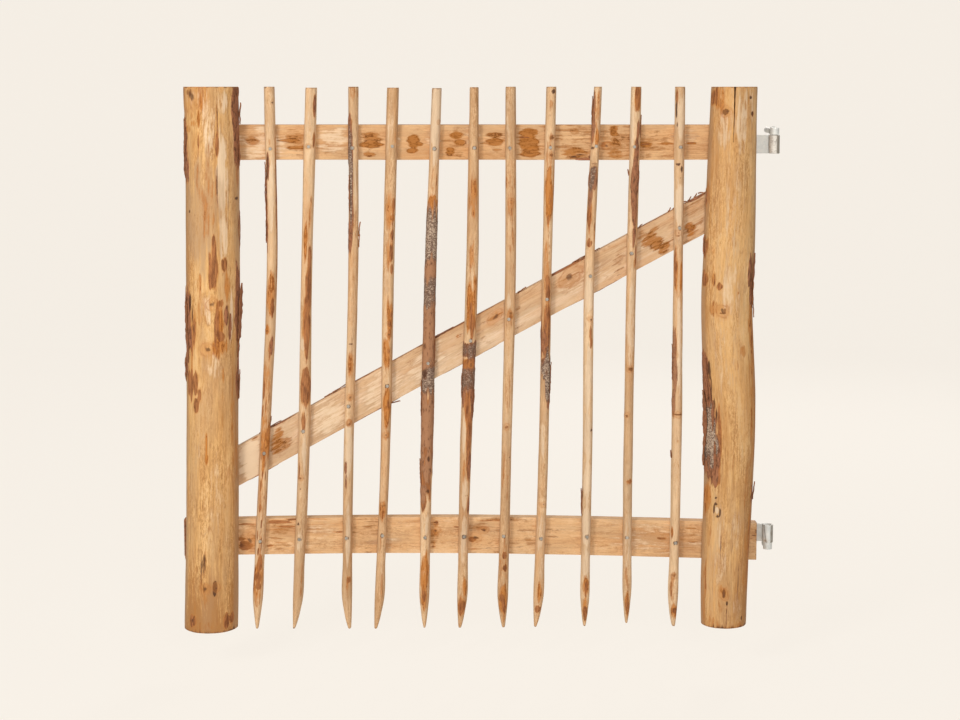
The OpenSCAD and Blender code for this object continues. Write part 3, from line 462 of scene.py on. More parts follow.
            (0.1, 92, 0.8, 22, 0.5), (0.1, 40, 0.8, 20, 0.9)
        ],
        "stain": [
            (-0.2, 930, 0.8, 50, 0.6), (0.2, 1150, 0.7, 40, 0.6), (0.3, 1090, 0.6, 20, 0.8),
            (0.0, 850, 0.8, 20, 0.5), (0.3, 675, 0.6, 20, 0.5), (0.5, 510, 0.3, 30, 0.5),
            (0.0, 100, 0.9, 26, 0.8), (0.0, 50, 0.9, 30, 0.8)
        ],
        "cream": [
            (0.4, 1130, 0.4, 60, 0.6), (0.0, 750, 0.9, 60, 0.9), (0.0, 560, 0.8, 70, 0.9),
            (0.0, 430, 0.8, 60, 0.9), (0.0, 330, 0.8, 60, 0.9), (0.0, 230, 1.0, 60, 1.1),
            (0.0, 150, 1.0, 40, 1.1)
        ],
        "knot": [
            (0.4, 694, 0.3, 4, 0.9), (0.7, 449, 0.2, 3, 0.9), (0.1, 1087, 0.3, 3, 0.6),
            (-0.5, 1068, 0.4, 4, 0.8), (0.0, 1034, 0.6, 4, 0.8)
        ],
        "ash": [(-0.2, 1010, 0.8, 50, 0.65)],
        "knots": [(0.4, 694, 9), (0.1, 1086, 9)]
    },
    "pale_10": {
        "bark": [
            (0.45, 1105, 0.30, 26, 0.9), (0.30, 1060, 0.45, 44, 1.2), (0.16, 1000, 0.72, 56, 1.6),
            (0.22, 930, 0.5, 54, 1.5), (0.25, 880, 0.46, 34, 1.2), (0.55, 845, 0.25, 26, 0.7),
            (0.85, 1188, 0.25, 16, 0.5)
        ],
        "bast": [
            (0.25, 1180, 0.5, 26, 0.8), (0.2, 1155, 0.25, 8, 0.8), (-0.05, 1050, 0.3, 60, 0.7),
            (0.6, 820, 0.3, 14, 0.5), (0.1, 335, 0.8, 5, 0.5), (0.1, 50, 0.8, 20, 0.6)
        ],
        "stain": [
            (0.2, 1175, 0.7, 34, 0.8), (0.0, 335, 0.9, 10, 0.5), (0.1, 120, 0.8, 26, 0.4),
            (0.1, 50, 0.8, 36, 0.7), (0.6, 820, 0.5, 20, 0.5)
        ],
        "cream": [(-0.6, 1110, 0.4, 60, 0.7), (0.0, 700, 0.9, 110, 0.6), (0.0, 200, 0.9, 60, 0.5)],
        "knot": [(0.15, 585, 0.45, 4, 0.9), (-0.45, 481, 0.3, 3.5, 0.8)],
        "knots": [(0.15, 585, 9), (-0.45, 482, 9)]
    },
    "pale_11": {
        "bark": [(-0.70, 640, 0.30, 40, 0.8), (-0.55, 580, 0.42, 50, 1), (-0.75, 510, 0.3, 34, 0.9)],
        "bast": [
            (-0.65, 1180, 0.2, 20, 0.7), (-0.55, 800, 0.4, 50, 0.8), (-0.55, 630, 0.4, 50, 0.9),
            (0.2, 425, 0.3, 6, 0.3), (0.2, 42, 0.7, 8, 0.8), (0.5, 790, 0.4, 40, 0.4)
        ],
        "stain": [
            (0.5, 790, 0.5, 44, 0.8), (-0.4, 790, 0.5, 50, 0.8), (0.3, 730, 0.4, 24, 0.5),
            (-0.3, 890, 0.4, 10, 0.4), (0.0, 95, 0.9, 40, 0.5), (0.1, 40, 0.8, 20, 0.8),
            (-0.6, 220, 0.3, 14, 0.7)
        ],
        "cream": [(0.0, 1140, 0.9, 60, 0.7), (0.2, 640, 0.6, 110, 1), (0.0, 940, 0.8, 80, 0.9)],
        "knot": [
            (-0.3, 1033, 0.5, 3.5, 1.3), (0.35, 1022, 0.24, 7, 1.2), (0.1, 1003, 0.3, 3, 0.9),
            (-0.75, 1150, 0.15, 16, 0.7), (-0.6, 1118, 0.12, 10, 0.6), (0.0, 484, 0.9, 2, 0.9),
            (-0.2, 878, 0.4, 2.5, 0.7), (-0.1, 124, 0.6, 2.5, 0.6), (0.1, 198, 0.35, 3.5, 0.8)
        ],
        "knots": [(-0.3, 885, 9), (0.0, 484, 9), (0.0, 120, 9)]
    }
}
# How much paler (above 0) or browner (below 0) a piece is than the rest.
TONES = {
    "pale_01": 0.25, "pale_02": 0.35, "pale_03": 0.25, "pale_04": -0.15, "pale_05": 0.55, "pale_06": -0.02,
    "pale_07": 0.1, "pale_08": 0.05, "pale_09": 0.45, "pale_10": 0.4, "pale_11": 0.5, "brace": 0.25,
    "top_rail": -0.25, "bottom_rail": 0.2, "latch_stile": -0.06
}
# How greyed a piece is by the weather.
DULL = {node: 0.36 for node in PALES} | {"hinge_stile": 0.32, "latch_stile": 0.12, "top_rail": 0.2}
# Loose bark and splinters: place across, where each one starts and ends, its width, and
# how far its two ends stand off the wood, all but the first in millimetres.
FLAKES = {
    "latch_stile": [
        (0.96, 612, 776, 15, 0.3, 5.5), (0.97, 690, 745, 9, 0.5, 2), (0.99, 1138, 1166, 8, 1, 4),
        (0.985, 1120, 1142, 6, 3, 1), (0.97, 1176, 1198, 7, 0.5, 2.5), (-0.95, 1004, 1075, 9, 0.3, 0.8),
        (-0.9, 1052, 1132, 12, 0.8, 0.4), (-0.9, 650, 745, 14, 0.4, 1.6), (-0.84, 602, 672, 10, 1.2, 0.5),
        (-0.95, 560, 612, 8, 0.5, 1), (0.985, 520, 585, 8, 1, 2.5), (0.72, 655, 712, 7, 0.5, 2.5),
        (0.98, 1030, 1075, 7, 1.5, 1), (-0.86, 690, 735, 6, 1, 2)
    ],
    "hinge_stile": [
        (0.90, 722, 842, 10, 0.5, 4), (0.95, 700, 752, 7, 2.5, 0.5), (-0.95, 420, 540, 15, 0.5, 3.5),
        (-0.97, 372, 440, 11, 3, 1), (-0.88, 520, 612, 10, 1, 2), (-0.62, 355, 430, 6, 0.5, 2),
        (0.96, 296, 336, 8, 1, 3), (-0.97, 835, 880, 6, 1, 2), (-0.70, 452, 520, 6, 0.5, 1.5)
    ],
    "brace": [
        (1.05, -985, -930, 9, 1, 3), (1.08, -560, -540, 7, 1, 3), (1.03, -232, -224, 2.6, 0.2, 5.5),
        (1.03, -222, -213, 2.6, 0.2, 6), (1.03, -212, -200, 3, 0.3, 4), (1.03, -199, -191, 2.6, 5, 0.2),
        (1.03, -189, -179, 3, 0.3, 6), (1.03, -176, -167, 2.6, 0.2, 6), (1.03, -165, -155, 3, 5, 0.4),
        (1.03, -150, -140, 3, 0.3, 4), (1.03, -300, -286, 3, 0.3, 3.5), (1.03, -322, -310, 3, 0.3, 3),
        (-1.05, -840, -822, 5, 0.5, 5), (1.05, -1130, -1080, 8, 1, 2), (1.06, -760, -700, 8, 1.5, 1),
        (1.06, -440, -380, 8, 1, 2)
    ],
    "bottom_rail": [(0.3, -1298, -1284, 12, 1, 2), (-0.5, -1298, -1280, 14, 1, 2)],
    "pale_01": [
        (-0.93, 985, 1038, 4, 0.3, 1.4), (-0.9, 925, 990, 4, 0.5, 1.6), (-0.92, 862, 930, 4, 1.2, 0.4),
        (0.9, 452, 480, 3, 0.3, 1.5)
    ],
    "pale_03": [(0.92, 876, 908, 4, 0.3, 4), (0.95, 852, 880, 3, 0.5, 2.5), (-0.7, 930, 1010, 4, 0.5, 1.5)],
    "pale_05": [(-0.9, 480, 560, 4, 0.3, 1.5), (0.92, 590, 650, 4, 0.3, 1.5), (-0.9, 330, 385, 3, 0.3, 2)],
    "pale_06": [(0.9, 470, 540, 4, 0.3, 1.5), (-0.9, 520, 575, 3, 0.3, 1.5)],
    "pale_08": [(0.92, 530, 600, 4, 0.3, 2)],
    "pale_09": [(-0.9, 255, 318, 4, 0.3, 2), (-0.85, 1120, 1180, 4, 0.3, 1.5)],
    "pale_10": [(-0.95, 1008, 1022, 4, 0.3, 3), (0.9, 1090, 1140, 4, 0.3, 1.5)],
    "pale_11": [(-0.92, 386, 404, 4, 0.5, 3), (-0.9, 560, 640, 4, 0.3, 1.5)]
}
KINDS = ["bark", "bast", "stain", "cream", "ash", "knot"]

# ---- smooth noise ---------------------------------------------------------------------

# Large odd numbers that scatter the corners of the noise's lattice, and the largest result.
SCATTER = (73856093, 19349663, 83492791)
SCATTER_SEED = 2654435761
STIR = ((13, 1274126177), (15, 2246822519))
LARGEST = 0x7FFFFFFF


def noise(places, seed=0):
    """Smooth noise from -1 to 1 at rows of three numbers, one bump to each unit."""
    cell = np.floor(places).astype(np.int64)
    part = places - cell
    part = part * part * (3 - 2 * part)
    total = np.zeros(places.shape[:-1])
    for corner in np.ndindex(2, 2, 2):
        x, y, z = np.moveaxis((cell + np.array(corner)) * np.array(SCATTER), -1, 0)
        mixed = x ^ y ^ z ^ (seed * SCATTER_SEED)
        for shift, factor in STIR:
            mixed = ((mixed ^ (mixed >> shift)) * factor) & LARGEST
        share = np.where(corner, part, 1 - part).prod(axis=-1)
        total += share * (mixed / (LARGEST // 2) - 1)
    return total


def ripple(values, seed, aside=0):
    """Smooth noise from -1 to 1 along a line."""
    return noise(np.stack([values, 0 * values + aside, 0 * values], axis=-1), seed)


def layered(places, seed, layers=3):
    """Noise of several sizes laid over each other, each half as large and as strong."""
    return sum(noise(places * 2**k, seed + 31 * k) / 2**k for k in range(layers))


def smoothstep(low, high, value):
    """0 below low, 1 above high, and a soft step in between."""
    part = np.clip((value - low) / (high - low), 0, 1)
    return part * part * (3 - 2 * part)


# ---- skins over the frame's timber ----------------------------------------------------


def corners_of(node):
    """The corners of a node of the frame, one to a row."""
    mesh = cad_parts[node].data
    corners = np.empty(len(mesh.vertices) * 3)
    mesh.vertices.foreach_get("co", corners)
    return corners.reshape(-1, 3)


def outlines(node, axis):
    """The levels of a node's corners along an axis, and its outline at each of them."""
    corners = corners_of(node)
    levels = []
    for value in np.sort(corners[:, axis]):
        if not levels or value - levels[-1] > 0.5 * MM:
            levels.append(value)
    rings = []
    for level in levels:
        near = corners[abs(corners[:, axis] - level) < 0.3 * MM][:, [2 - axis, 1]]
        middle = (near.min(0) + near.max(0)) / 2
        turn = np.arctan2(near[:, 0] - middle[0], near[:, 1] - middle[1]) % math.tau
        ring = []
        for point in near[np.argsort(turn)]:
            if not ring or np.linalg.norm(point - ring[-1]) > 0.1 * MM:
                ring.append(point)
        if np.linalg.norm(ring[0] - ring[-1]) < 0.1 * MM:
            ring.pop()
        rings.append(ring)
    return np.array(levels), np.array(rings)


def between(levels, values, at):
    """The values at other levels, on one smooth curve through those given."""
    slopes = np.gradient(values, levels, axis=0)
    k = np.clip(np.searchsorted(levels, at, side="right") - 1, 0, len(levels) - 2)
    gap = (levels[k + 1] - levels[k])[:, None, None]
    t = (at - levels[k])[:, None, None] / gap
    return (
        values[k] * (1 + 2 * t) * (1 - t) ** 2
        + values[k + 1] * t * t * (3 - 2 * t)
        + gap * t * (1 - t) * (slopes[k] * (1 - t) - slopes[k + 1] * t)
    )


def softened(rings, reach):
    """Rings with their corners eased over a number of columns."""
    if reach <= 0:
        return rings
    span = range(-math.ceil(2.5 * reach), math.ceil(2.5 * reach) + 1)
    weights = [math.exp(-((k / reach) ** 2) / 2) for k in span]
    total = sum(w * np.roll(rings, k, axis=1) for k, w in zip(span, weights, strict=True))
    return total / sum(weights)


class Skin:
    """A fine grid of points over one piece of timber, in rows along it and columns round it."""

    CHAMFER = 0.9 * MM

    def __init__(self, node, axis, row_step, column_step, soften):
        self.node = node
        self.axis = axis
        self.seed = sum(ord(letter) * (k + 3) for k, letter in enumerate(node))
        levels, corners = outlines(node, axis)
        sides = np.linalg.norm(np.roll(corners, -1, axis=1) - corners, axis=2).mean(0)
        rings = []
        for k, side in enumerate(sides):
            parts = max(1, round(side / column_step))
            ahead = corners[:, (k + 1) % len(sides)] - corners[:, k]
            rings += [corners[:, k] + ahead * j / parts for j in range(parts)]
        low, high = levels[0], levels[-1]
        inner = np.linspace(low + self.CHAMFER, high - self.CHAMFER, round((high - low) / row_step))
        self.rows = np.concatenate([[low], inner, [high]])
        flat = between(levels, np.stack(rings, axis=1), self.rows)
        flat = softened(flat, soften / column_step)
        side, depth = flat[..., 0], flat[..., 1]
        along = np.broadcast_to(self.rows[:, None], side.shape)
        order = (side, depth, along) if axis == UPRIGHT else (along, depth, side)
        self.points = np.stack(order, axis=-1)
        self.middle = (side.min(1) + side.max(1)) / 2
        self.half = (side.max(1) - side.min(1)) / 2
        self.back = depth.max()
        self.up = (self.rows - (GATE_FOOT if axis == UPRIGHT else 0)) / MM
        self.across = self.shares(side, depth)
        # Coordinates that the grain follows: across, in depth from the pith, and along.
        self.grain = np.stack([side - self.middle[:, None], depth - self.back, along], axis=-1)

    def shares(self, side, depth):
        """Place of each column: -1 to 1 over the front, and on round the back."""
        share = ((side - self.middle[:, None]) / self.half[:, None]).mean(0)
        deep = depth.mean(0)
        steps = np.linalg.norm(np.diff(np.stack([side, depth], -1).mean(0), axis=0), axis=1)
        way = np.concatenate([[0], np.cumsum(steps)])
        front = min(np.flatnonzero(deep < deep.mean()), key=lambda k: abs(share[k]))
        across = share.copy()
        for sign, columns in ((1, range(front, -1, -1)), (-1, range(front, len(share)))):
            flank = next(k for k in columns if sign * share[k] > FLANK)
            for k in columns:
                if sign * (flank - k) > 0:
                    across[k] = sign * (FLANK + abs(way[k] - way[flank]) / self.half.mean())
        return across

    def field(self, size_across, size_along, seed, layers=2):
        """Noise over the surface, with bumps of a size given in millimetres."""
        scale = 1 / (np.array([size_across, size_across, size_along]) * MM)
        return layered(self.grain * scale + self.seed % 97, self.seed + seed, layers)

    def marks(self, kind):
        """How strongly a kind of mark shows at each point, from 0 to 1."""
        total = np.zeros(self.points.shape[:2])
        rows = MARKS[self.node].get(kind, ())
        if not rows:
            return total
        streak = self.field(5, 55, 5) + 0.5 * self.field(14, 30, 6)
        for across, along, half_across, half_along, strength in rows:
            near = np.abs(self.across[None] - across) / half_across
            far = np.abs(self.up[:, None] - along) / half_along
            edge = 1 - near**2 - far**1.7 + 0.5 * streak
            total = np.maximum(total, strength * smoothstep(-0.5, 0.7, edge))
        return total

    def bend_grain(self):
        """Lets the fibres wander, and run round the knots."""
        self.grain[..., 0] += 2.5 * MM * ripple(self.up / 170, self.seed)[:, None]
        for across, along, radius in MARKS[self.node].get("knots", ()):
            side = (self.across[None] - across) * self.half.mean() / MM
            ahead = self.up[:, None] - along
            pull = np.exp(-((side / radius) ** 2) - (ahead / (2.4 * radius)) ** 2)
            self.grain[..., 0] -= 0.62 * side * pull * MM
            self.grain[..., 2] += 0.5 * radius * pull * np.sin(side / radius * 2) * MM

    def normals(self):
        """Outward directions at all points."""
        round_it = np.roll(self.points, -1, axis=1) - np.roll(self.points, 1, axis=1)
        along = np.gradient(self.points, axis=0)
        out = np.cross(along, round_it) * (1 if self.axis == UPRIGHT else -1)
        return out / np.maximum(np.linalg.norm(out, axis=2, keepdims=True), 1e-12)

    def push(self, distance):
        """Moves the points outwards by a distance in millimetres, inside the frame's box."""
        self.points = self.points + self.normals() * distance[..., None] * MM
        self.points = np.clip(self.points, CAD_BOX[0], CAD_BOX[1])


def tube(rows, columns):
    """Numbers of the points in a grid of rings, and the faces between the rings."""
    k = np.arange(rows * columns).reshape(rows, columns)
    beside = np.roll(k, -1, axis=1)
    return k, np.stack([k[:-1], beside[:-1], beside[1:], k[1:]], axis=-1).reshape(-1, 4)


def capped(grid, axis, end_rough, seed):
    """The points and faces of a grid of rings, closed at both ends with flat cuts."""
    rows, columns = grid.shape[:2]
    k, faces = tube(rows, columns)
    faces = (faces[:, ::-1] if axis == UPRIGHT else faces).tolist()
    points = [grid.reshape(-1, 3)]
    owners = [k.ravel()]
    count = k.size
    for end in (0, rows - 1):
        ring = grid[end]
        centre = (ring.min(0) + ring.max(0)) / 2
        outer = k[end]
        forward = (end == 0) == (axis == UPRIGHT)
        for share in CUT_RINGS:
            inner_points = centre + (ring - centre) * share
            rough = layered(inner_points / (9 * MM), seed, 2) * end_rough
            inner_points[:, axis] += rough if end == 0 else -np.abs(rough)
            if end == 0:
                inner_points[:, axis] = np.maximum(inner_points[:, axis], ring[0, axis])
            points.append(inner_points)
            owners.append(k[end])
            inner = np.arange(count, count + columns)
            count += columns
            wall = np.stack([outer, np.roll(outer, -1), np.roll(inner, -1), inner], axis=-1)
            faces += (wall if forward else wall[:, ::-1]).tolist()
            outer = inner
        faces.append(outer.tolist() if forward else outer[::-1].tolist())
    return np.concatenate(points), faces, np.concatenate(owners)


def new_object(name, points, faces, material, numbers=()):
    """A mesh object with a material and one attribute for each entry of numbers."""
    mesh = bpy.data.meshes.new(name)
    mesh.from_pydata(np.asarray(points).tolist(), [], faces)
    for key, values in dict(numbers).items():
        kind = "FLOAT_VECTOR" if np.ndim(values) == 2 else "FLOAT"
        layer = mesh.attributes.new(key, kind, "POINT")
        layer.data.foreach_set("vector" if kind == "FLOAT_VECTOR" else "value", np.ravel(values))
    mesh.shade_smooth()
    mesh.set_sharp_from_angle(angle=math.radians(SHARP_ANGLE))
    mesh.materials.append(material)
    mesh.update()
    piece = bpy.data.objects.new(name, mesh)
    bpy.context.scene.collection.objects.link(piece)
    return piece


def nail_places(low, high):
    """Where nail heads lie between two heights across: their x and z."""
    places = []
    for node in NAIL_NODES:
        corners = corners_of(node)
        heads = corners[corners[:, 1] < corners[:, 1].min() + 0.2 * MM]
        near = heads[(heads[:, 0] > low) & (heads[:, 0] < high)]
        if len(near):
            places.append((near.min(0) + near.max(0))[[0, 2]] / 2)
    return places


# ---- timber ---------------------------------------------------------------------------


def raise_knots(skin, rise):
    """Swells the surface at each knot, with a groove round it, and gives the distance to it in radii."""
    eye = np.full(rise.shape, NO_KNOT)
    for across, along, radius in MARKS[skin.node].get("knots", ()):
        side = (skin.across[None] - across) * skin.half.mean() / MM
        side = side + 0.3 * radius * skin.field(1.2 * radius, 1.6 * radius, 22)
        uneven = 0.3 * radius * skin.field(1.4 * radius, 1.2 * radius, 23)
        ahead = (skin.up[:, None] - along) * 0.9 + uneven
        away = np.hypot(side * 0.9, ahead) / radius
        groove = 0.5 * np.exp(-(((away - 0.8) * 6) ** 2))
        rise += min(1.4, 0.07 * radius) * np.exp(-((away * 1.3) ** 2)) - groove
        eye = np.minimum(eye, away)
    return eye


def dress(skin, relief, bark_rise, inset=0.7, quiet_back=0.3, foot_dark_reach=2.2):
    """Bends the grain of a skin, and gives the strengths of its marks and how far it rises."""
    strengths = {kind: skin.marks(kind) for kind in KINDS}
    skin.bend_grain()
    rough = (
        0.75 * skin.field(34, 170, 11)
        + 0.35 * skin.field(11, 80, 12)
        + 0.22 * skin.field(5, 60, 13)
    )
    facing = np.where(np.abs(skin.across) > 1.25, quiet_back, 1.0)[None]
    # Darker towards both ends of a piece, fading within a few millimetres of the top and within a given reach
    # of the foot, in the knots' dark colour.
    top_dark = np.exp(-(skin.up[-1] - skin.up) / 2.2)
    flank_shade_and_dark_ends = 0.62 * (top_dark + np.exp(-(skin.up - skin.up[0]) / foot_dark_reach))
    strengths["knot"] = np.maximum(strengths["knot"], flank_shade_and_dark_ends[:, None])
    bark = smoothstep(0.3, 0.6, strengths["bark"])
    bark_rough = 0.55 * skin.field(5, 14, 14) + 0.35 * skin.field(3, 6, 15)
    rise = relief * (rough - inset) * facing
    rise += bark * (bark_rise + 0.7 * bark_rough) + 0.45 * strengths["bast"] * (1 - bark)
    rise -= 0.7 * strengths["knot"]
    strengths["eye"] = raise_knots(skin, rise)
    strengths["dull"] = np.full(rise.shape, DULL.get(skin.node, 0.0))
    strengths["tone"] = np.full(rise.shape, TONES.get(skin.node, 0.0))
    return strengths, rise


def finish_timber(skin, strengths, material, body=LEAF, end_rough=0.25 * MM):
    """Makes the piece of a skin, which stands for its node."""
    rows, columns = skin.points.shape[:2]
    points, faces, owners = capped(skin.points, skin.axis, end_rough, skin.seed)
    numbers = {kind: values.reshape(-1)[owners] for kind, values in strengths.items()}
    walls = rows * columns
    end = np.zeros(len(points))
    end[walls:] = 1
    end[:columns] = end[walls - columns : walls] = 1
    for kind in KINDS:
        numbers[kind][walls:] = 0
    grain = skin.grain.reshape(-1, 3)[owners]
    flat = points[walls:]
    grain[walls:, 0] = flat[:, 2 - skin.axis] - np.repeat(skin.middle[[0, -1]], len(flat) // 2)
    grain[walls:, 1] = flat[:, 1] - skin.back
    grain[walls:, 2] = flat[:, skin.axis]
    numbers["grain"] = grain + np.array([0, 0, skin.seed % 50])
    numbers["end"] = end
    piece = new_object(skin.node + "_timber", points, faces, material, numbers)
    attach(piece, body)
    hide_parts(skin.node)
    return piece


def flake(skin, across, low, high, width, lift_low, lift_high, seed):
    """One strip of loose bark: its points and faces, where its outer side is, and its grain."""
    column = int(np.argmin(np.abs(skin.across - across)))
    rows = max(6, round((high - low) / 4))
    share = np.linspace(0, 1, rows)
    level = low + share * (high - low)

    def at(values):
        """The skin's values in the strip's column, at the strip's levels."""
        return np.stack([np.interp(level, skin.up, values[:, column, k]) for k in range(3)], axis=-1)

    out = at(skin.normals())
    along = np.gradient(at(skin.points), axis=0)
    along /= np.linalg.norm(along, axis=1, keepdims=True)
    beside = np.cross(along, out)
    taper = np.clip(np.sin(np.pi * np.clip(share, 0.03, 0.97)) ** 0.45, 0.2, 1)
    half = width / 2 * taper * (1 + 0.35 * ripple(level / 7, seed, seed))
    lift = lift_low + (lift_high - lift_low) * share**1.5 + 0.5 * ripple(level / 3, seed + 3, seed)
    turns = np.linspace(-1, 1, FLAKE_COLUMNS)
    curl = 0.9 * turns**2 * (0.4 + max(lift_low, lift_high) / 4)
    places = np.broadcast_arrays(level[:, None] / 5, turns * 2, float(seed))
    crumple = 0.35 * noise(np.stack(places, axis=-1), seed + 7)
    aside = beside[:, None] * (half[:, None] * turns)[..., None] * MM
    layers = []
    for depth in (1.0, -0.6):
        height = lift[:, None] + depth * (1.05 - 0.6 * np.abs(turns)) + curl
        height += crumple
        layers.append(at(skin.points)[:, None] + aside + out[:, None] * height[..., None] * MM)
    grid = np.concatenate([layers[0], layers[1][:, ::-1]], axis=1)
    columns = grid.shape[1]
    k, faces = tube(rows, columns)
    faces = (faces if skin.axis == UPRIGHT else faces[:, ::-1]).tolist()
    faces += [k[0][::-1].tolist(), k[-1].tolist()]
    outer = np.tile(np.repeat([1.0, 0.0], FLAKE_COLUMNS), rows)
    there_and_back = np.tile(np.r_[turns, turns[::-1]], rows)
    own = np.full(rows * columns, seed * 0.01)
    grain = np.stack([there_and_back * width * MM, own, np.repeat(level, columns) * MM], axis=-1)
    return np.clip(grid.reshape(-1, 3), CAD_BOX[0], CAD_BOX[1]), faces, outer, grain


def add_flakes(skin, material, body=LEAF):
    """Joins a node's loose bark and splinters into one piece."""
    rows = FLAKES.get(skin.node, ())
    if not rows:
        return
    parts = [flake(skin, *row, seed=7 * k + skin.seed % 31) for k, row in enumerate(rows)]
    points, faces, outer, grain = zip(*parts, strict=True)
    starts = np.cumsum([0, *map(len, points)]).tolist()
    joined = []
    for start, some in zip(starts[:-1], faces, strict=True):
        joined += [[start + k for k in face] for face in some]
    outer = np.concatenate(outer)
    numbers = {"bark": outer, "bast": 1 - outer, "grain": np.concatenate(grain)}
    numbers["eye"] = np.full(starts[-1], NO_KNOT)
    piece = new_object(skin.node + "_bark", np.concatenate(points), joined, material, numbers)
    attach(piece, body)


def cut_drying_check(skin, strengths, across, low, width, depth):
    """Opens a drying check that runs down from the top of an upright piece, and paints shade at its floor."""
    middle = int(np.argmin(np.abs(skin.across - across)))
    down = np.clip((skin.up - low) / (skin.up[-1] - low), 0, 1)
    ragged = 1 + 0.35 * ripple(skin.up / 9, 7)
    half = np.where(down > 0, (0.25 + 0.75 * down) * width / 2 * ragged, 0) * MM
    lips = skin.points[:, [middle - 1, middle + 1]]
    centre = skin.points[:, middle].copy()
    for k, lip in zip((middle - 1, middle + 1), np.moveaxis(lips, 1, 0), strict=True):
        side = np.sign(lip[:, 0] - centre[:, 0])
        skin.points[:, k, 0] = np.where(half > 0, centre[:, 0] + side * half, lip[:, 0])
    skin.points[:, middle, 1] += np.where(down > 0, depth * MM * np.minimum(1, 0.3 + down), 0)
    # The floor of the check is painted dark with the knots' heart colour, as painted shade in the crack.
    strengths["knot"][:, middle] = np.where(down > 0, 1, strengths["knot"][:, middle])


# ---- rolled straps --------------------------------------------------------------------


def strap_section(gauge):
    """Section of a flat bar: how far out, how far up from its edge, and share of its half height."""
    section = []
    for quarter, (side, up) in enumerate(((1, 1), (-1, 1), (-1, -1), (1, -1))):
        for turn in np.radians(np.linspace(90 * quarter, 90 * quarter + 90, 4)):
            out = side * (gauge / 2 - STRAP_EASE) + STRAP_EASE * math.cos(turn)
            section.append((out, up * -STRAP_EASE + STRAP_EASE * math.sin(turn), up))
        if side != up:
            section += [(side * gauge / 2, 0, share) for share in np.linspace(up, -up, 12)[1:-1]]
    return np.array(section)


class Strap:
    """A flat bar whose end is rolled into an eye, as a grid of sections in its node's box."""

    def __init__(self, node, gauge):
        self.low, self.high = (np.array(corner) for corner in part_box(node))
        self.radius = (self.high[1] - self.low[1]) / 2
        self.centre = np.array([self.high[0] - self.radius, self.low[1] + self.radius])
        half_height = (self.high[2] - self.low[2]) / 2
        round_end = np.linspace(0.02, 1, 14) ** 2 * half_height
        straight = np.linspace(self.low[0] + half_height, self.centre[0], 40)[1:]
        bar = np.concatenate([self.low[0] + round_end, straight])
        self.turns = np.radians(np.linspace(*ROLL_TURNS, 76))[1:]
        middle = self.radius - gauge / 2
        path = np.concatenate([
            np.stack([bar, np.full(len(bar), self.centre[1] + middle)], -1),
            self.centre + middle * np.stack([np.cos(self.turns), np.sin(self.turns)], -1)
        ])
        self.roll = np.arange(len(path)) >= len(bar)
        # Half height at each station: round at the far end of the bar.
        tall = np.full(len(path), half_height)
        tall[: len(round_end)] = np.sqrt(half_height**2 - (half_height - round_end) ** 2)
        ahead = np.gradient(path, axis=0)
        ahead /= np.linalg.norm(ahead, axis=1, keepdims=True)
        out = np.stack([-ahead[:, 1], ahead[:, 0]], -1)
        section = strap_section(gauge)
        self.outside = section[:, 0] > 0
        self.points = np.zeros((len(path), len(section), 3))
        self.points[..., 2] = self.low[2] + half_height + tall[:, None] * section[:, 2] + section[:, 1]
        self.points[..., :2] = path[:, None] + out[:, None] * section[:, 0][None, :, None]

    def height(self):
        """Share of the strap's height at each point."""
        return (self.points[..., 2] - self.low[2]) / (self.high[2] - self.low[2])

    def press_seam(self, slant):
        """Presses an open seam into the roll, and gives its strength. Without a slant there is none."""
        seam = np.zeros(self.points.shape[:2])
        if slant:
            around = np.degrees(self.turns)[:, None] - SEAM_FOOT + slant * self.height()[self.roll]
            away = np.radians(around) * self.radius
            seam[self.roll] = np.exp(-((away / (1.2 * MM)) ** 2)) * self.outside
            spoke = self.points[..., :2] - self.centre
            self.points[..., :2] -= spoke / self.radius * seam[..., None] * 0.6 * MM
        return seam

    def dent(self):
        """Makes the faces a little uneven, inside the box."""
        self.points[..., 1] -= layered(self.points / (14 * MM), 5, 2) * 0.12 * MM
        self.points = np.clip(self.points, self.low, self.high)

    def painted_shade_lips_and_rust(self, seam, slant):
        """Strengths of the painted shade on the flank and along the top of the eye, the dark lips and the
        rust.
        """
        flank, rust = np.zeros((2, *self.points.shape[:2]))
        degrees = np.degrees(self.turns)[:, None]
        shade = 0.75 if slant else 1
        # Painted shade on the right flank of the eye, which turns away from the light; weaker on the eye with
        # a seam.
        flank[self.roll] = shade * smoothstep(-82, -62, degrees) * smoothstep(60, 20, degrees)
        # Painted shade along the top edge of the roll, where the hollow eye is dark.
        top = smoothstep(0.96, 1.0, self.height()) * self.roll[:, None]
        rows = len(self.points)
        lip = np.exp(-(((np.arange(rows) - rows) / 2.5) ** 2))[:, None]
        if slant:
            # One spot of rust near the foot of the seam.
            aside = self.points[..., 0] - self.centre[0] + 6.5 * MM
            above = self.points[..., 2] - self.low[2] - 5 * MM
            rust = np.exp(-((np.hypot(aside, above) / (4.4 * MM)) ** 2))
        else:
            rust[self.roll] = 0.58 * smoothstep(-62, -78, degrees)
        lips = np.maximum(0.45 * lip, 0.9 * seam)
        return {"flank": np.maximum(flank, 0.75 * top).ravel(), "lip": lips.ravel(), "rust": rust.ravel()}


def rolled_strap(node, gauge, slant, material):
    """A strap of flat bar whose end is rolled into an eye, with a seam if a slant is given."""
    strap = Strap(node, gauge)
    seam = strap.press_seam(slant)
    strap.dent()
    k, faces = tube(*strap.points.shape[:2])
    faces = np.roll(faces[:, ::-1], 1, axis=1).tolist()
    faces += [k[0].tolist(), k[-1][::-1].tolist()]
    strap_shade_lips_rust = strap.painted_shade_lips_and_rust(seam, slant)
    piece = new_object(node + "_rolled", strap.points.reshape(-1, 3), faces, material, strap_shade_lips_rust)
    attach(piece, LEAF)
    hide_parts(node)


# ---- materials ------------------------------------------------------------------------


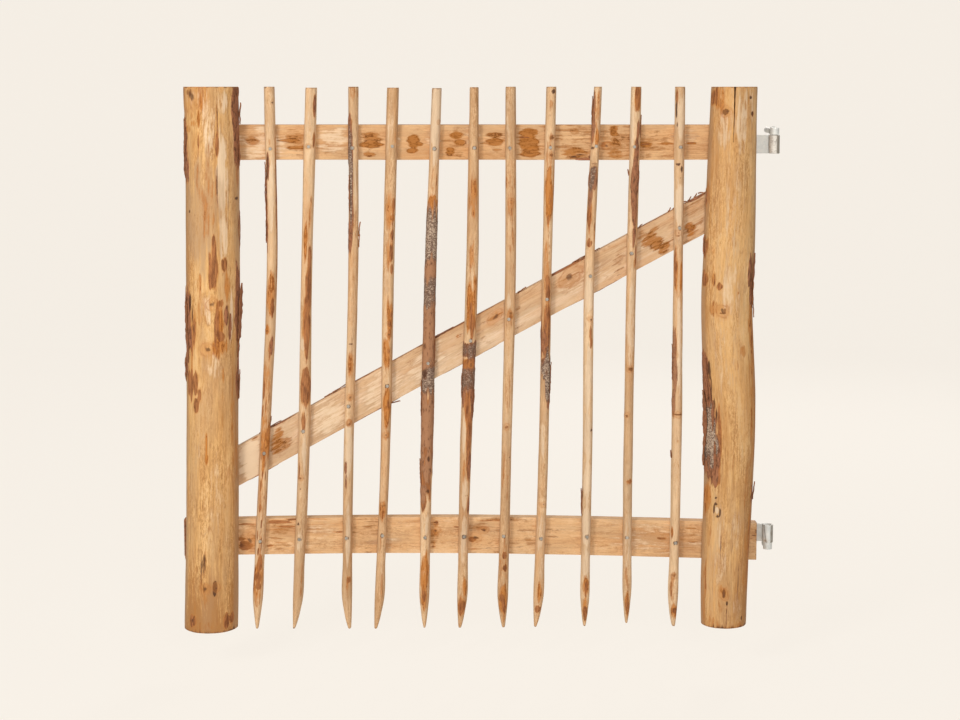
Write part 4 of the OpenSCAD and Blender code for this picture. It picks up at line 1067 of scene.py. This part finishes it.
class Nodes:
    """A node tree whose nodes are added one by one."""

    def __init__(self, owner):
        owner.use_nodes = True
        self.tree = owner.node_tree
        self.tree.nodes.clear()

    def add(self, kind, inputs=(), **settings):
        """Adds a node. Inputs are given by name or number, as values or as sockets."""
        node = self.tree.nodes.new("ShaderNode" + kind)
        for key, value in settings.items():
            setattr(node, key, value)
        for key, value in dict(inputs).items():
            if isinstance(value, bpy.types.NodeSocket):
                self.tree.links.new(value, node.inputs[key])
            else:
                node.inputs[key].default_value = value
        return node

    def work(self, operation, *values):
        """Result of one mathematical step."""
        return self.add("Math", dict(enumerate(values)), operation=operation).outputs[0]

    def multiply(self, first, second):
        """Product of two sockets or numbers."""
        return self.work("MULTIPLY", first, second)

    def seen(self):
        """1 for camera, glossy and transmission rays, and 0 for all others."""
        rays = self.add("LightPath").outputs
        either = self.work("MAXIMUM", rays["Is Camera Ray"], rays["Is Glossy Ray"])
        return self.work("MAXIMUM", either, rays["Is Transmission Ray"])


class Finish(Nodes):
    """A material, and the place on the piece that its patterns start from."""

    def __init__(self, name):
        self.material = bpy.data.materials.new(name)
        super().__init__(self.material)
        self.place = None

    def number(self, name):
        """An attribute of the mesh that holds one number."""
        return self.add("Attribute", attribute_name=name).outputs["Fac"]

    def sum(self, *terms):
        """Sum of sockets or numbers, each given alone or with its factor."""
        total = 0.0
        for term in terms:
            value, factor = term if isinstance(term, tuple) else (term, 1)
            total = self.work("MULTIPLY_ADD", value, factor, total)
        return total

    def step(self, value, low, high):
        """0 below low, 1 above high, and smooth in between."""
        inputs = {"Value": value, "From Min": low, "From Max": high}
        return self.add("MapRange", inputs, interpolation_type="SMOOTHSTEP").outputs[0]

    def ramp(self, value, low, high):
        """0 below low, 1 above high, and straight in between."""
        inputs = {"Value": value, "From Min": low, "From Max": high}
        return self.add("MapRange", inputs).outputs[0]

    def grain(self, across, along, detail=3, roughness=0.6, twist=0.0):
        """Noise stretched along the grain, with bumps per metre across and along."""
        sizes = {0: self.place, 1: (across, across, along)}
        scaled = self.add("VectorMath", sizes, operation="MULTIPLY")
        inputs = {
            "Vector": scaled.outputs[0], "Scale": 1.0, "Detail": detail, "Roughness": roughness,
            "Distortion": twist
        }
        return self.add("TexNoise", inputs).outputs["Fac"]

    def blend(self, share, first, second):
        """A colour between two, each of them a socket or a colour."""
        node = self.add("Mix", data_type="RGBA")
        sockets = (node.inputs[0], node.inputs[6], node.inputs[7])
        for socket, value in zip(sockets, (share, first, second), strict=True):
            if isinstance(value, bpy.types.NodeSocket):
                self.tree.links.new(value, socket)
            else:
                socket.default_value = value if np.ndim(value) == 0 else (*value[:3], 1)
        return node.outputs[2]

    def wash(self, colour, share, strength, over):
        """A colour with another laid over part of it, at a strength."""
        return self.blend(self.multiply(share, strength), colour, over)

    def surface(self, colour, roughness, height, bump, distance, plain):
        """Ends the tree with one Principled shader."""
        raised = self.add("Bump", {"Height": height, "Strength": bump, "Distance": distance})
        inputs = {"Base Color": colour, "Roughness": roughness, "Normal": raised.outputs[0]}
        shader = self.add("BsdfPrincipled", inputs)
        for name, value in plain.items():
            shader.inputs[name].default_value = value
        self.add("OutputMaterial", {"Surface": shader.outputs[0]})
        return self.material


class Timber(Finish):
    """Cleft chestnut: noises along its grain, and the marks that the mesh carries."""

    def __init__(self, name, look, shorter, busy):
        super().__init__(name)
        self.look = look
        self.shorter = shorter
        self.busy = busy
        self.place = self.add("Attribute", attribute_name="grain").outputs["Vector"]
        self.broad = self.grain(16, 2.2, 2)
        self.field = self.grain(36, 5.5 * shorter, 3, 0.55)
        self.streak = self.grain(130, 7 * shorter, 4, 0.65)
        self.fibre = self.grain(340, 20 * shorter, 4, 0.7)
        self.dash = self.grain(300, 60 * shorter, 5, 0.75)
        self.grit = self.grain(480, 150 * shorter, 4, 0.8)
        self.fine = self.grain(900, 90, 3, 0.7)
        self.mottle = self.grain(95, 42 * shorter, 4, 0.7)
        self.crust = self.grain(200, 75, 4, 0.75)
        self.pith = self.add("SeparateXYZ", {0: self.place}).outputs
        squares = [self.multiply(way, way) for way in self.pith[:2]]
        self.radius = self.work("POWER", self.sum(*squares), 0.5)
        self.pores = self.step(self.sum((self.dash, 1.0), (self.grain(520, 34, 3, 0.7), 0.6)), 0.92, 1.08)
        self.ragged = self.sum(
            (self.streak, 1.6), (self.fibre, 0.8), (self.dash, 0.5), (self.mottle, 0.7), -1.8
        )
        self.is_bark = self.shows("bark", 0.42, 0.58)

    def shows(self, kind, low, high):
        """Where a kind of mark shows, broken up along the fibres: none below low, all above high."""
        level = self.number(kind)
        return self.multiply(self.step(self.sum(level, self.ragged), low, high), self.step(level, 0.02, 0.25))

    def halo(self, kind):
        """A kind of mark with the rim that it fades out in."""
        return self.shows(kind, 0.1, 0.5)

    def tone(self, ring_figure):
        """Lightness of bare wood: clouds, streaks, fibres, rings and a mottled bloom."""
        wave = self.sum((self.radius, 2100.0), (self.broad, 9.0), (self.streak, 3.0))
        rings = self.work("SINE", wave)
        # Some places are quiet and others busy with short fibres.
        restless = self.multiply(self.step(self.grain(33, 8, 3, 0.6), 0.38, 0.66), 1.1 * self.busy)
        flecks = self.sum((self.dash, 2.2), (self.grit, 1.8), (self.fibre, 0.7), -2.35)
        flecks = self.multiply(flecks, self.sum(restless, 0.2 * self.busy))
        return self.sum(
            (self.broad, 1.2), (self.field, 0.9), (self.streak, 0.8), (self.fibre, 0.95),
            (self.mottle, 0.5), (rings, ring_figure), -1.675, flecks, (self.number("tone"), 0.5)
        )

    def bare(self, tones, ring_figure):
        """Colour of bare wood, with warm and dull clouds, curled lines and pores."""
        light, middle, dark = tones
        tone = self.tone(ring_figure)
        colour = self.blend(self.ramp(tone, 0.0, 0.5), dark, middle)
        colour = self.blend(self.ramp(tone, 0.5, 1.05), colour, light)
        warm = self.step(self.grain(22, 3.1, 3, 0.6), 0.45, 0.7)
        colour = self.wash(colour, warm, 0.3, self.look.stain)
        dull = self.step(self.grain(27, 4.3, 3, 0.6), 0.44, 0.7)
        colour = self.wash(colour, dull, 0.45, self.look.weathered)
        curl = self.grain(42, 5 * self.shorter, 3, 0.5, 1.2)
        line = self.multiply(self.step(curl, 0.455, 0.492), self.step(curl, 0.535, 0.5))
        broken = self.step(self.sum(self.mottle, (self.streak, 0.7), -0.35), 0.42, 0.6)
        colour = self.wash(colour, self.multiply(line, broken), 0.35, self.look.pore)
        return self.wash(colour, self.pores, 0.5, self.look.pore)

    def cream(self, colour):
        """Pale patches with a faint dark rim."""
        shown = self.shows("cream", 0.2, 0.8)
        rim = self.multiply(self.halo("cream"), self.step(shown, 0.6, 0.0))
        colour = self.wash(colour, rim, 0.35, self.look.stain_dark)
        return self.wash(colour, shown, 0.78, self.look.cream)

    def weather(self, colour):
        """Grey of the weather, where the mesh is marked with ash or is dull as a whole; on the flanks of the
        stiles it is partly painted shade.
        """
        bleak = self.work("MAXIMUM", self.number("ash"), self.number("dull"))
        grey = self.step(self.sum(bleak, (self.streak, 0.8), (self.dash, 0.6), -0.7), 0.1, 0.9)
        return self.wash(colour, grey, 0.75, self.look.weathered)

    def stain(self, colour, stain, stain_dark):
        """Stain with tide marks, darkest at its rim."""
        level = self.number("stain")
        rim = self.sum((self.step(self.sum(level, self.ragged), 0.5, 1.0), -1), 1)
        tide = self.work("SINE", self.sum((level, 9.0), (self.streak, 16.0), (self.mottle, 9.0)))
        tide = self.step(tide, 0.2, 1.0)
        share = self.sum((rim, 0.7), (tide, 0.7), (self.fibre, 1.0), (self.streak, 0.9), -1.25)
        share = self.step(share, 0.15, 0.8)
        bold = self.sum((self.step(level, 0.4, 0.9), 0.3), (share, 0.3), 0.6)
        return self.wash(colour, self.shows("stain", 0.34, 0.66), bold, self.blend(share, stain, stain_dark))

    def inner_bark(self, colour):
        """Red-brown inner bark with dark streaks and a painted shadow line round its rim."""
        shown = self.shows("bast", 0.41, 0.59)
        colour = self.wash(colour, self.halo("bast"), 0.6, self.look.stain)
        streaks = self.step(self.grain(240, 30, 5, 0.75), 0.4, 0.57)
        colour = self.wash(colour, shown, 0.85, self.blend(streaks, self.look.bast_dark, self.look.bast))
        # Painted shadow line round the edge of the raised inner bark.
        rim = self.multiply(self.step(shown, 0.1, 0.5), self.step(shown, 0.9, 0.5))
        return self.wash(colour, rim, 0.35, self.look.bast_dark)

    def lichened(self):
        """Colour of the outer bark: cracked, paler where the tone is high, and lichened."""
        look = self.look
        bark = self.blend(self.step(self.crust, 0.34, 0.58), look.bark_dark, look.bark)
        pale = self.multiply(self.ramp(self.number("tone"), 0.38, 0.55), self.step(self.crust, 0.3, 0.5))
        bark = self.blend(pale, bark, look.bark_light)
        ash = self.number("ash")
        scurf = self.sum((ash, 0.16), self.grain(240, 380, 4, 0.75), -0.155)
        lichen = self.blend(self.step(scurf, 0.42, 0.6), look.ash_dark, look.ash)
        return self.blend(self.step(self.sum(ash, (self.crust, 1.2), -0.7), 0.25, 0.6), bark, lichen)

    def outer_bark(self, colour):
        """Outer bark with a red-brown halo and a painted shadow line round its rim."""
        colour = self.wash(colour, self.halo("bark"), 0.6, self.look.bast)
        colour = self.blend(self.is_bark, colour, self.lichened())
        # Painted shadow line round the edge of the raised bark.
        rim = self.multiply(self.step(self.is_bark, 0.1, 0.6), self.step(self.is_bark, 1.0, 0.6))
        return self.wash(colour, rim, 0.45, self.look.bark_dark)

    def knots(self, colour):
        """Dark slits and hearts, the darker ends, the marks round the nails and the painted shade in the
        drying check, and rings round each knot from its heart outwards.
        """
        colour = self.wash(colour, self.halo("knot"), 0.35, self.look.bast)
        colour = self.wash(colour, self.shows("knot", 0.3, 0.7), 0.85, self.look.heart)
        away = self.number("eye")
        rings = self.work("SINE", self.sum((away, 12.0), (self.mottle, 7.0), (self.dash, 5.0)))
        close = self.step(self.sum(away, (self.mottle, 0.5), -0.25), 1.15, 0.5)
        colour = self.wash(colour, close, 0.3, self.look.stain)
        drawn = self.multiply(self.step(rings, 0.3, 1.0), self.step(self.streak, 0.35, 0.6))
        colour = self.wash(colour, self.multiply(drawn, close), 0.65, self.look.bast)
        core = self.step(self.sum(away, (self.dash, 0.6), -0.3), 0.24, 0.1)
        return self.wash(colour, core, 0.65, self.look.heart)

    def sawn_ends(self, colour):
        """Sawn ends: uneven rings, dirt, and checks that run out from the pith."""
        uneven = self.sum((self.radius, 1500.0), (self.grain(30, 0, 3, 0.6), 22.0), (self.mottle, 2.5))
        rings = self.work("SINE", uneven)
        tone = self.sum((rings, 0.13), (self.fine, 0.5), (self.broad, 0.6), (self.mottle, 0.5), -0.4)
        sawn = self.blend(self.step(tone, 0.0, 0.62), self.look.end_dark, self.look.end)
        turn = self.work("ARCTAN2", self.pith[0], self.pith[1])
        swing = self.work("SINE", self.sum((turn, 3.5), (self.mottle, 0.9), 0.8))
        aside = self.multiply(self.work("ABSOLUTE", swing), self.radius)
        check = self.step(self.sum(aside, (self.radius, 0.035)), 0.0032, 0.0018)
        check = self.multiply(check, self.step(self.radius, 0.008, 0.022))
        sawn = self.wash(sawn, check, 0.75, self.look.heart)
        return self.wash(colour, self.number("end"), 0.9, sawn)

    def relief(self):
        """Height of the fibres, pores and bark, for the bumps."""
        return self.sum(
            (self.streak, 1.0), (self.fibre, 0.8), (self.dash, 1.0), (self.grit, 0.7), (self.fine, 0.2),
            (self.pores, -0.3), (self.multiply(self.is_bark, self.crust), 2.4)
        )


def timber(name, tones, look, ring_figure, shorter=1.0, busy=1.0, stains=None):
    """Cleft chestnut, from its light, middle and dark tones."""
    f = Timber(name, look, shorter, busy)
    colour = f.weather(f.cream(f.bare(tones, ring_figure)))
    colour = f.stain(colour, *(stains or (look.stain, look.stain_dark)))
    colour = f.knots(f.outer_bark(f.inner_bark(colour)))
    roughness = f.sum((f.fibre, 0.18), (f.is_bark, 0.2), 0.58)
    return f.surface(f.sawn_ends(colour), roughness, f.relief(), 0.6, 1.0 * MM, {"Specular IOR Level": 0.16})


def galvanised(name, bright, dull, look):
    """Hot-dip galvanised steel with a faint spangle, scuffs and small specks, painted shade on the flank and
    top of each eye, dark lips and rust.
    """
    f = Finish(name)
    f.place = f.add("TexCoord").outputs["Object"]
    cells = f.add("TexVoronoi", {"Vector": f.place, "Scale": 130.0})
    spangle = f.add("SeparateXYZ", {0: cells.outputs["Color"]}).outputs[0]
    cloud = f.grain(55, 55, 4, 0.7)
    specks = f.step(f.grain(330, 330, 3, 0.7), 0.66, 0.72)
    tone = f.sum((spangle, 0.25), (cloud, 1.0), -0.15)
    colour = f.blend(f.step(tone, 0.2, 0.8), dull, bright)
    colour = f.wash(colour, specks, 0.6, look.rust)
    # Painted shade on the flank and the top edge of each rolled eye.
    flank = f.step(f.sum(f.number("flank"), (cloud, 0.9), -0.45), 0.35, 0.85)
    colour = f.wash(colour, flank, 0.8, look.flank_shade_and_dark_ends)
    colour = f.wash(colour, f.number("lip"), 0.8, look.heart)
    rust = f.number("rust")
    scale = f.step(f.sum(rust, (f.grain(240, 240, 4, 0.8), 2.2), -1.1), 0.55, 0.95)
    colour = f.wash(colour, rust, 0.25, look.peeled)
    colour = f.wash(colour, scale, 0.75, look.rust)
    roughness = f.sum((cloud, 0.3), (spangle, 0.1), 0.3)
    height = f.sum((cloud, 1.0), (specks, 0.6), (f.grain(500, 500, 2), 0.25))
    return f.surface(colour, roughness, height, 0.35, 0.5 * MM, {"Metallic": 0.15})


def paint(hex_code):
    """A linear colour from a hexadecimal one."""
    parts = [int(hex_code[k : k + 2], 16) / 255 for k in (0, 2, 4)]
    return tuple(p / 12.92 if p <= 0.04045 else ((p + 0.055) / 1.055) ** 2.4 for p in parts)


# ---- settings -------------------------------------------------------------------------


def hue(name, description, hex_code):
    """A colour property."""
    return bpy.props.FloatVectorProperty(
        name=name, description=description, subtype="COLOR", min=0, max=1, default=paint(hex_code)
    )


def length(name, description, default):
    """A length property, in metres."""
    return bpy.props.FloatProperty(name=name, description=description, default=default, unit="LENGTH")


def amount(name, description, default):
    """A number that is never below zero."""
    return bpy.props.FloatProperty(name=name, description=description, default=default, min=0)


class GateTimber(bpy.types.PropertyGroup):
    """Colours and relief of the chestnut."""

    peeled_light: hue("Peeled, light", "Lightest tone of the peeled timber", "E6BF8B")
    peeled: hue("Peeled", "Main tone of the peeled timber", "D8A86C")
    peeled_dark: hue("Peeled, dark", "Darkest streaks of the peeled timber", "AC7945")
    cleft_light: hue("Cleft, light", "Lightest tone of the pales", "EBCBA2")
    cleft: hue("Cleft", "Main tone of the pales", "DAB184")
    cleft_dark: hue("Cleft, dark", "Darkest streaks of the pales", "B08356")
    split_light: hue("Split, light", "Lightest tone of the split boards", "E8C398")
    split: hue("Split", "Main tone of the split boards", "DAAD7C")
    split_dark: hue("Split, dark", "Darkest streaks of the split boards", "BC8A5C")
    brace_light: hue("Brace, light", "Lightest tone of the brace", "DEC2A2")
    brace: hue("Brace", "Main tone of the brace", "D1AC84")
    brace_dark: hue("Brace, dark", "Darkest streaks of the brace", "B58A62")
    pore: hue("Pores", "Colour of the open pores", "A06A3C")
    cream: hue("Cream", "Freshly peeled pale wood", "E3C9A8")
    stain: hue("Stain", "Orange sapwood stain", "BC7632")
    stain_dark: hue("Stain, dark", "Darker streaks in the stain", "864B20")
    board_stain: hue("Board stain", "Brown stain of the rails and the brace", "A66626")
    board_stain_dark: hue("Board stain, dark", "Rims of the stain on the rails and the brace", "74441A")
    bast: hue("Inner bark", "Red-brown inner bark", "A86C40")
    bast_dark: hue("Inner bark, dark", "Darker streaks in the inner bark", "6A3A22")
    bark: hue("Bark", "Outer bark", "A26B4A")
    bark_light: hue("Bark, light", "Palest outer bark", "A77856")
    bark_dark: hue("Bark, dark", "Cracks in the outer bark", "64402D")
    ash: hue("Lichen", "Pale lichen on the bark", "BCA48C")
    ash_dark: hue("Lichen, dark", "Gaps in the lichen", "6A5143")
    weathered: hue("Weathered", "Grey-brown weathered wood", "AE8A66")
    # Also the colour of the darker ends, the marks round the nails and the painted shade at the floor of the
    # drying check.
    heart: hue("Knot", "Heart of a knot", "452C20")
    end: hue("End grain", "Sawn ends", "E0B07C")
    end_dark: hue("End grain, dark", "Rings and dirt on the sawn ends", "A6744A")
    zinc: hue("Zinc", "Galvanised steel", "DEDDD6")
    zinc_dark: hue("Zinc, dark", "Dull places in the galvanising", "C8C9C4")
    nail: hue("Nails", "Zinc of the nail heads", "B0A798")
    nail_dark: hue("Nails, dark", "Dull places on the nail heads", "7F766A")
    # Painted shade on the flank and the top edge of each rolled eye.
    flank_shade_and_dark_ends: hue("Grime", "Dark oxide on the flank of an eye", "6E614D")
    pin: hue("Pins", "Oiled steel of the hinge pins", "5E5448")
    pin_dark: hue("Pins, dark", "Darker oil on the hinge pins", "3C342C")
    rust: hue("Rust", "Specks of rust and dirt", "6F5A3C")
    stile_relief: amount("Stile relief", "Unevenness of the stiles in millimetres", 1.1)
    board_relief: amount("Board relief", "Unevenness of the rails in millimetres", 0.6)
    pale_relief: amount("Pale relief", "Unevenness of the pales in millimetres", 0.8)
    row_step: length("Rows", "Distance between rows of a mesh along the grain", 3 * MM)
    column_step: length("Columns", "Distance between columns of a mesh round a piece", 2.2 * MM)


class GateStage(bpy.types.PropertyGroup):
    """Backdrop, lamps and camera."""

    backdrop: hue("Backdrop", "Colour of the floor and the wall", "F7F0E6")
    floor_gap: length("Floor", "Height of the gate's foot above the floor", 0.09)
    distance: length("Distance", "Camera to the front of the rails", 4.0924)
    lens: bpy.props.FloatProperty(name="Lens", description="Focal length in millimetres", default=70.47)
    pitch: bpy.props.FloatProperty(
        name="Pitch", description="Downward tilt of the camera", subtype="ANGLE", default=math.radians(6.259)
    )
    key: amount("Key", "Power of the main lamp in watts", 93)
    fill: amount("Fill", "Power of the second lamp in watts", 65)
    back: amount("Back", "Power of the rear lamp in watts", 60)
    sky: amount("Sky", "Strength of the light all round", 0.34)


def look():
    """The gate's timber settings."""
    return bpy.context.scene.gate_timber


def material_of(name, make):
    """The named material, made once."""
    return bpy.data.materials.get(name) or make(name)


def peeled():
    """Finish of the stiles."""
    c = look()
    tones = (c.peeled_light, c.peeled, c.peeled_dark)
    return material_of("peeled_chestnut_finish", lambda name: timber(name, tones, c, 0.03))


def cleft():
    """Finish of the pales."""
    c = look()
    tones = (c.cleft_light, c.cleft, c.cleft_dark)
    return material_of("cleft_chestnut_finish", lambda name: timber(name, tones, c, 0.03, 1.3, 0.9))


def split(node):
    """Finish of a rail or of the brace. The bottom rail is the busiest, and the brace the dullest."""
    c = look()
    tones = (c.split_light, c.split, c.split_dark)
    if node == "brace":
        tones = (c.brace_light, c.brace, c.brace_dark)
    busy = {"top_rail": 0.4, "bottom_rail": 0.85, "brace": 0.35}[node]
    stains = (c.board_stain, c.board_stain_dark)
    return material_of(node + "_finish", lambda name: timber(name, tones, c, 0.06, 1.6, busy, stains))


# ---- operators --------------------------------------------------------------------------


def shade_stile(skin, strengths):
    """Greys and browns the flanks of a stile, partly as weathering and partly as painted shade, and browns
    its foot.
    """
    away = np.abs(skin.across)[None]
    # The flanks turn away from the front: their grey and brown are partly weathering and partly painted
    # shade.
    flank = smoothstep(0.74, 1.02, away) * (1 - 0.75 * smoothstep(1.3, 1.5, away))
    strengths["dull"] = np.maximum(strengths["dull"], 0.9 * flank)
    foot = 0.8 * smoothstep(190, -20, skin.up)[:, None]
    strengths["tone"] -= foot * (1.3 if skin.node == "latch_stile" else 0.5)
    strengths["tone"] -= 0.4 * flank


def tone_hinge_stile(skin, strengths):
    """Pales the bark, the top and the left of the foot, and browns the right of the lower half."""
    strengths["tone"] += 0.5 * smoothstep(0.3, 0.7, strengths["bark"])
    side = skin.across[None]
    up = skin.up[:, None]
    leaning = 0.45 * smoothstep(0.1, -0.5, side) * smoothstep(340, 230, up) - 0.09
    leaning = leaning - 0.6 * smoothstep(0.1, 0.8, side) * smoothstep(720, 420, up)
    leaning = leaning + 0.2 * smoothstep(1040, 1150, up)
    strengths["tone"] += leaning * smoothstep(1.5, 1.1, np.abs(side))


def settle_nails(skin, strengths, rise):
    """Darkens the front of a pale round its nails, and gives how far it rises with that levelled."""
    low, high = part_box(skin.node)
    for x, z in nail_places(low[0], high[0]):
        away = np.hypot(skin.points[..., 0] - x, skin.points[..., 2] - z) / MM
        away[skin.points[..., 1] > (low[1] + high[1]) / 2] = np.inf
        rise = 0.5 + (rise - 0.5) * smoothstep(3, 9, away)
        strengths["knot"] = np.maximum(strengths["knot"], 0.5 * smoothstep(6.0, 4.4, away))
    return rise


class GATE_OT_stiles(bpy.types.Operator):
    """Skins the two split logs that carry the gate"""

    bl_idname = "gate.stiles"
    bl_label = "Stiles"

    def execute(self, context):
        c = look()
        for node in ("latch_stile", "hinge_stile"):
            skin = Skin(node, UPRIGHT, c.row_step, c.column_step, 3.5 * MM)
            strengths, rise = dress(skin, c.stile_relief, 1.6, quiet_back=0.7, foot_dark_reach=6.0)
            shade_stile(skin, strengths)
            if node == "hinge_stile":
                tone_hinge_stile(skin, strengths)
            skin.push(rise)
            if node == "hinge_stile":
                cut_drying_check(skin, strengths, across=-0.09, low=1085, width=3.4, depth=16)
            finish_timber(skin, strengths, peeled())
            add_flakes(skin, peeled())
        return {"FINISHED"}


class GATE_OT_boards(bpy.types.Operator):
    """Skins the two split rails and the brace"""

    bl_idname = "gate.boards"
    bl_label = "Rails and brace"

    def execute(self, context):
        c = look()
        for node in ("top_rail", "bottom_rail", "brace"):
            skin = Skin(node, LYING, c.row_step, c.column_step, 1.6 * MM)
            strengths, rise = dress(skin, c.board_relief, 1.2, quiet_back=0.6)
            skin.push(rise)
            finish_timber(skin, strengths, split(node))
            add_flakes(skin, split(node))
        return {"FINISHED"}


class GATE_OT_pales(bpy.types.Operator):
    """Skins the eleven cleft pales and marks the wood round their nails"""

    bl_idname = "gate.pales"
    bl_label = "Pales"

    def execute(self, context):
        c = look()
        for node in PALES:
            skin = Skin(node, UPRIGHT, c.row_step, 0.9 * c.column_step, 0.9 * MM)
            strengths, rise = dress(skin, c.pale_relief, 0.9, inset=-0.6)
            skin.push(settle_nails(skin, strengths, rise))
            finish_timber(skin, strengths, cleft())
            add_flakes(skin, cleft())
        return {"FINISHED"}


class GATE_OT_hangings(bpy.types.Operator):
    """Makes the rolled straps, and gives all the metal its finish"""

    bl_idname = "gate.hangings"
    bl_label = "Hinges and fixings"

    def execute(self, context):
        c = look()
        metal = galvanised("galvanised_finish", c.zinc, c.zinc_dark, c)
        nail = galvanised("nail_finish", c.nail, c.nail_dark, c)
        pin = galvanised("pin_finish", c.pin, c.pin_dark, c)
        rolled_strap("upper_strap", STRAP_GAUGE, 0.0, metal)
        rolled_strap("lower_strap", STRAP_GAUGE, SEAM_SLANT, metal)
        for name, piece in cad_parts.items():
            if name not in MARKS:
                finish = nail if name in NAIL_NODES else pin if name.endswith("_pin") else metal
                piece.data.materials.clear()
                piece.data.materials.append(finish)
        return {"FINISHED"}


class GATE_OT_stage(bpy.types.Operator):
    """Sets the backdrop, the lamps and the camera"""

    bl_idname = "gate.stage"
    bl_label = "Stage"

    def execute(self, context):
        scene = context.scene
        stage = scene.gate_stage
        self.backdrop(stage)
        self.lamps(scene, stage)
        self.sky(scene, stage)
        self.camera(scene, stage)
        scene.view_settings.view_transform = "Standard"
        return {"FINISHED"}

    def backdrop(self, stage):
        """A floor that curves up into a wall, and keeps a faint shadow."""
        floor = GATE_FOOT - stage.floor_gap
        bend, behind = 1.2, 5.2
        near, wall_height, half_width = -9.0, 9, (-10.0, 9.0)
        line = [(near, floor)]
        for turn in (math.radians(a) for a in range(0, 91, 6)):
            line.append((behind + bend * math.sin(turn), floor + bend * (1 - math.cos(turn))))
        line.append((behind + bend, floor + wall_height))
        points = [(x, y, z) for x in half_width for y, z in line]
        n = len(line)
        faces = [(k, n + k, n + k + 1, k + 1) for k in range(n - 1)]
        f = Finish("backdrop_finish")
        glow = f.add("Emission", {"Color": (*stage.backdrop, 1), "Strength": 1.02}).outputs[0]
        matt = f.add("BsdfDiffuse", {"Color": (0.97, 0.94, 0.90, 1)}).outputs[0]
        mixed = f.add("MixShader", {0: f.multiply(f.seen(), 0.92), 1: matt, 2: glow}).outputs[0]
        f.add("OutputMaterial", {"Surface": mixed})
        wall = new_object("backdrop", points, faces, f.material)

    def lamps(self, scene, stage):
        """Three large soft lamps: the main one at the upper left, a second and a rear one."""
        low, high = CAD_BOX
        target = np.array([(low[0] + high[0]) / 2, low[1], (low[2] + high[2]) / 2 + 0.1])
        for name, power, azimuth, elevation in (
            ("key_lamp", stage.key, math.radians(34), math.radians(24)),
            ("fill_lamp", stage.fill, math.radians(-10), math.radians(14)),
            ("back_lamp", stage.back, math.radians(200), math.radians(24))
        ):
            lamp = bpy.data.lights.new(name, "AREA")
            lamp.shape = "DISK"
            lamp.size = LAMP_WIDTH
            lamp.energy = power
            lamp.color = (1.0, 0.985, 0.965)
            holder = bpy.data.objects.new(name, lamp)
            holder.visible_camera = False
            scene.collection.objects.link(holder)
            way = np.array([
                -math.sin(azimuth) * math.cos(elevation),
                -math.cos(azimuth) * math.cos(elevation),
                math.sin(elevation)
            ])
            holder.location = target + LAMP_DISTANCE * way
            holder.rotation_euler = (math.pi / 2 - elevation, 0, -azimuth)

    def sky(self, scene, stage):
        """A pale light all round, with the backdrop's colour in its place where it is seen."""
        scene.world = bpy.data.worlds.new("sky")
        nodes = Nodes(scene.world)
        light = nodes.add("Background", {"Color": (0.97, 0.975, 1.0, 1), "Strength": stage.sky}).outputs[0]
        plain = nodes.add("Background", {"Color": (*stage.backdrop, 1), "Strength": 0.97}).outputs[0]
        mixed = nodes.add("MixShader", {0: nodes.seen(), 1: light, 2: plain}).outputs[0]
        nodes.add("OutputWorld", {"Surface": mixed})

    def camera(self, scene, stage):
        """A camera level with the gate's top, tilted a little down."""
        lens = bpy.data.cameras.new("camera")
        lens.lens = stage.lens
        lens.sensor_width = SENSOR_WIDTH
        lens.shift_y = CAMERA_SHIFT
        lens.clip_end = 60
        holder = bpy.data.objects.new("camera", lens)
        scene.collection.objects.link(holder)
        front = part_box("top_rail")[0][1]
        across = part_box("pale_07")[0][0] - CAMERA_ASIDE
        holder.location = (across, front - stage.distance, CAD_BOX[1][2])
        holder.rotation_euler = (math.pi / 2 - stage.pitch, 0, 0)
        scene.camera = holder


OPERATORS = (GATE_OT_stage, GATE_OT_stiles, GATE_OT_boards, GATE_OT_pales, GATE_OT_hangings)


class GATE_PT_panel(bpy.types.Panel):
    """Lists the gate's operators and settings"""

    bl_idname = "GATE_PT_panel"
    bl_label = "Garden gate"
    bl_space_type = "VIEW_3D"
    bl_region_type = "UI"
    bl_category = "Gate"

    def draw(self, context):
        for operator in OPERATORS:
            self.layout.operator(operator.bl_idname)
        for group in (context.scene.gate_timber, context.scene.gate_stage):
            for key in group.__annotations__:
                self.layout.prop(group, key)


CLASSES = (GateTimber, GateStage, *OPERATORS, GATE_PT_panel)


def register():
    """Registers the classes and the settings."""
    for cls in CLASSES:
        bpy.utils.register_class(cls)
    bpy.types.Scene.gate_timber = bpy.props.PointerProperty(type=GateTimber)
    bpy.types.Scene.gate_stage = bpy.props.PointerProperty(type=GateStage)


def unregister():
    """Takes them away again."""
    del bpy.types.Scene.gate_stage
    del bpy.types.Scene.gate_timber
    for cls in reversed(CLASSES):
        bpy.utils.unregister_class(cls)


def main():
    """Registers the classes, sets the stage and dresses the frame."""
    register()
    bpy.ops.gate.stage()
    bpy.ops.gate.stiles()
    bpy.ops.gate.boards()
    bpy.ops.gate.pales()
    bpy.ops.gate.hangings()


if __name__ == "__main__":
    main()
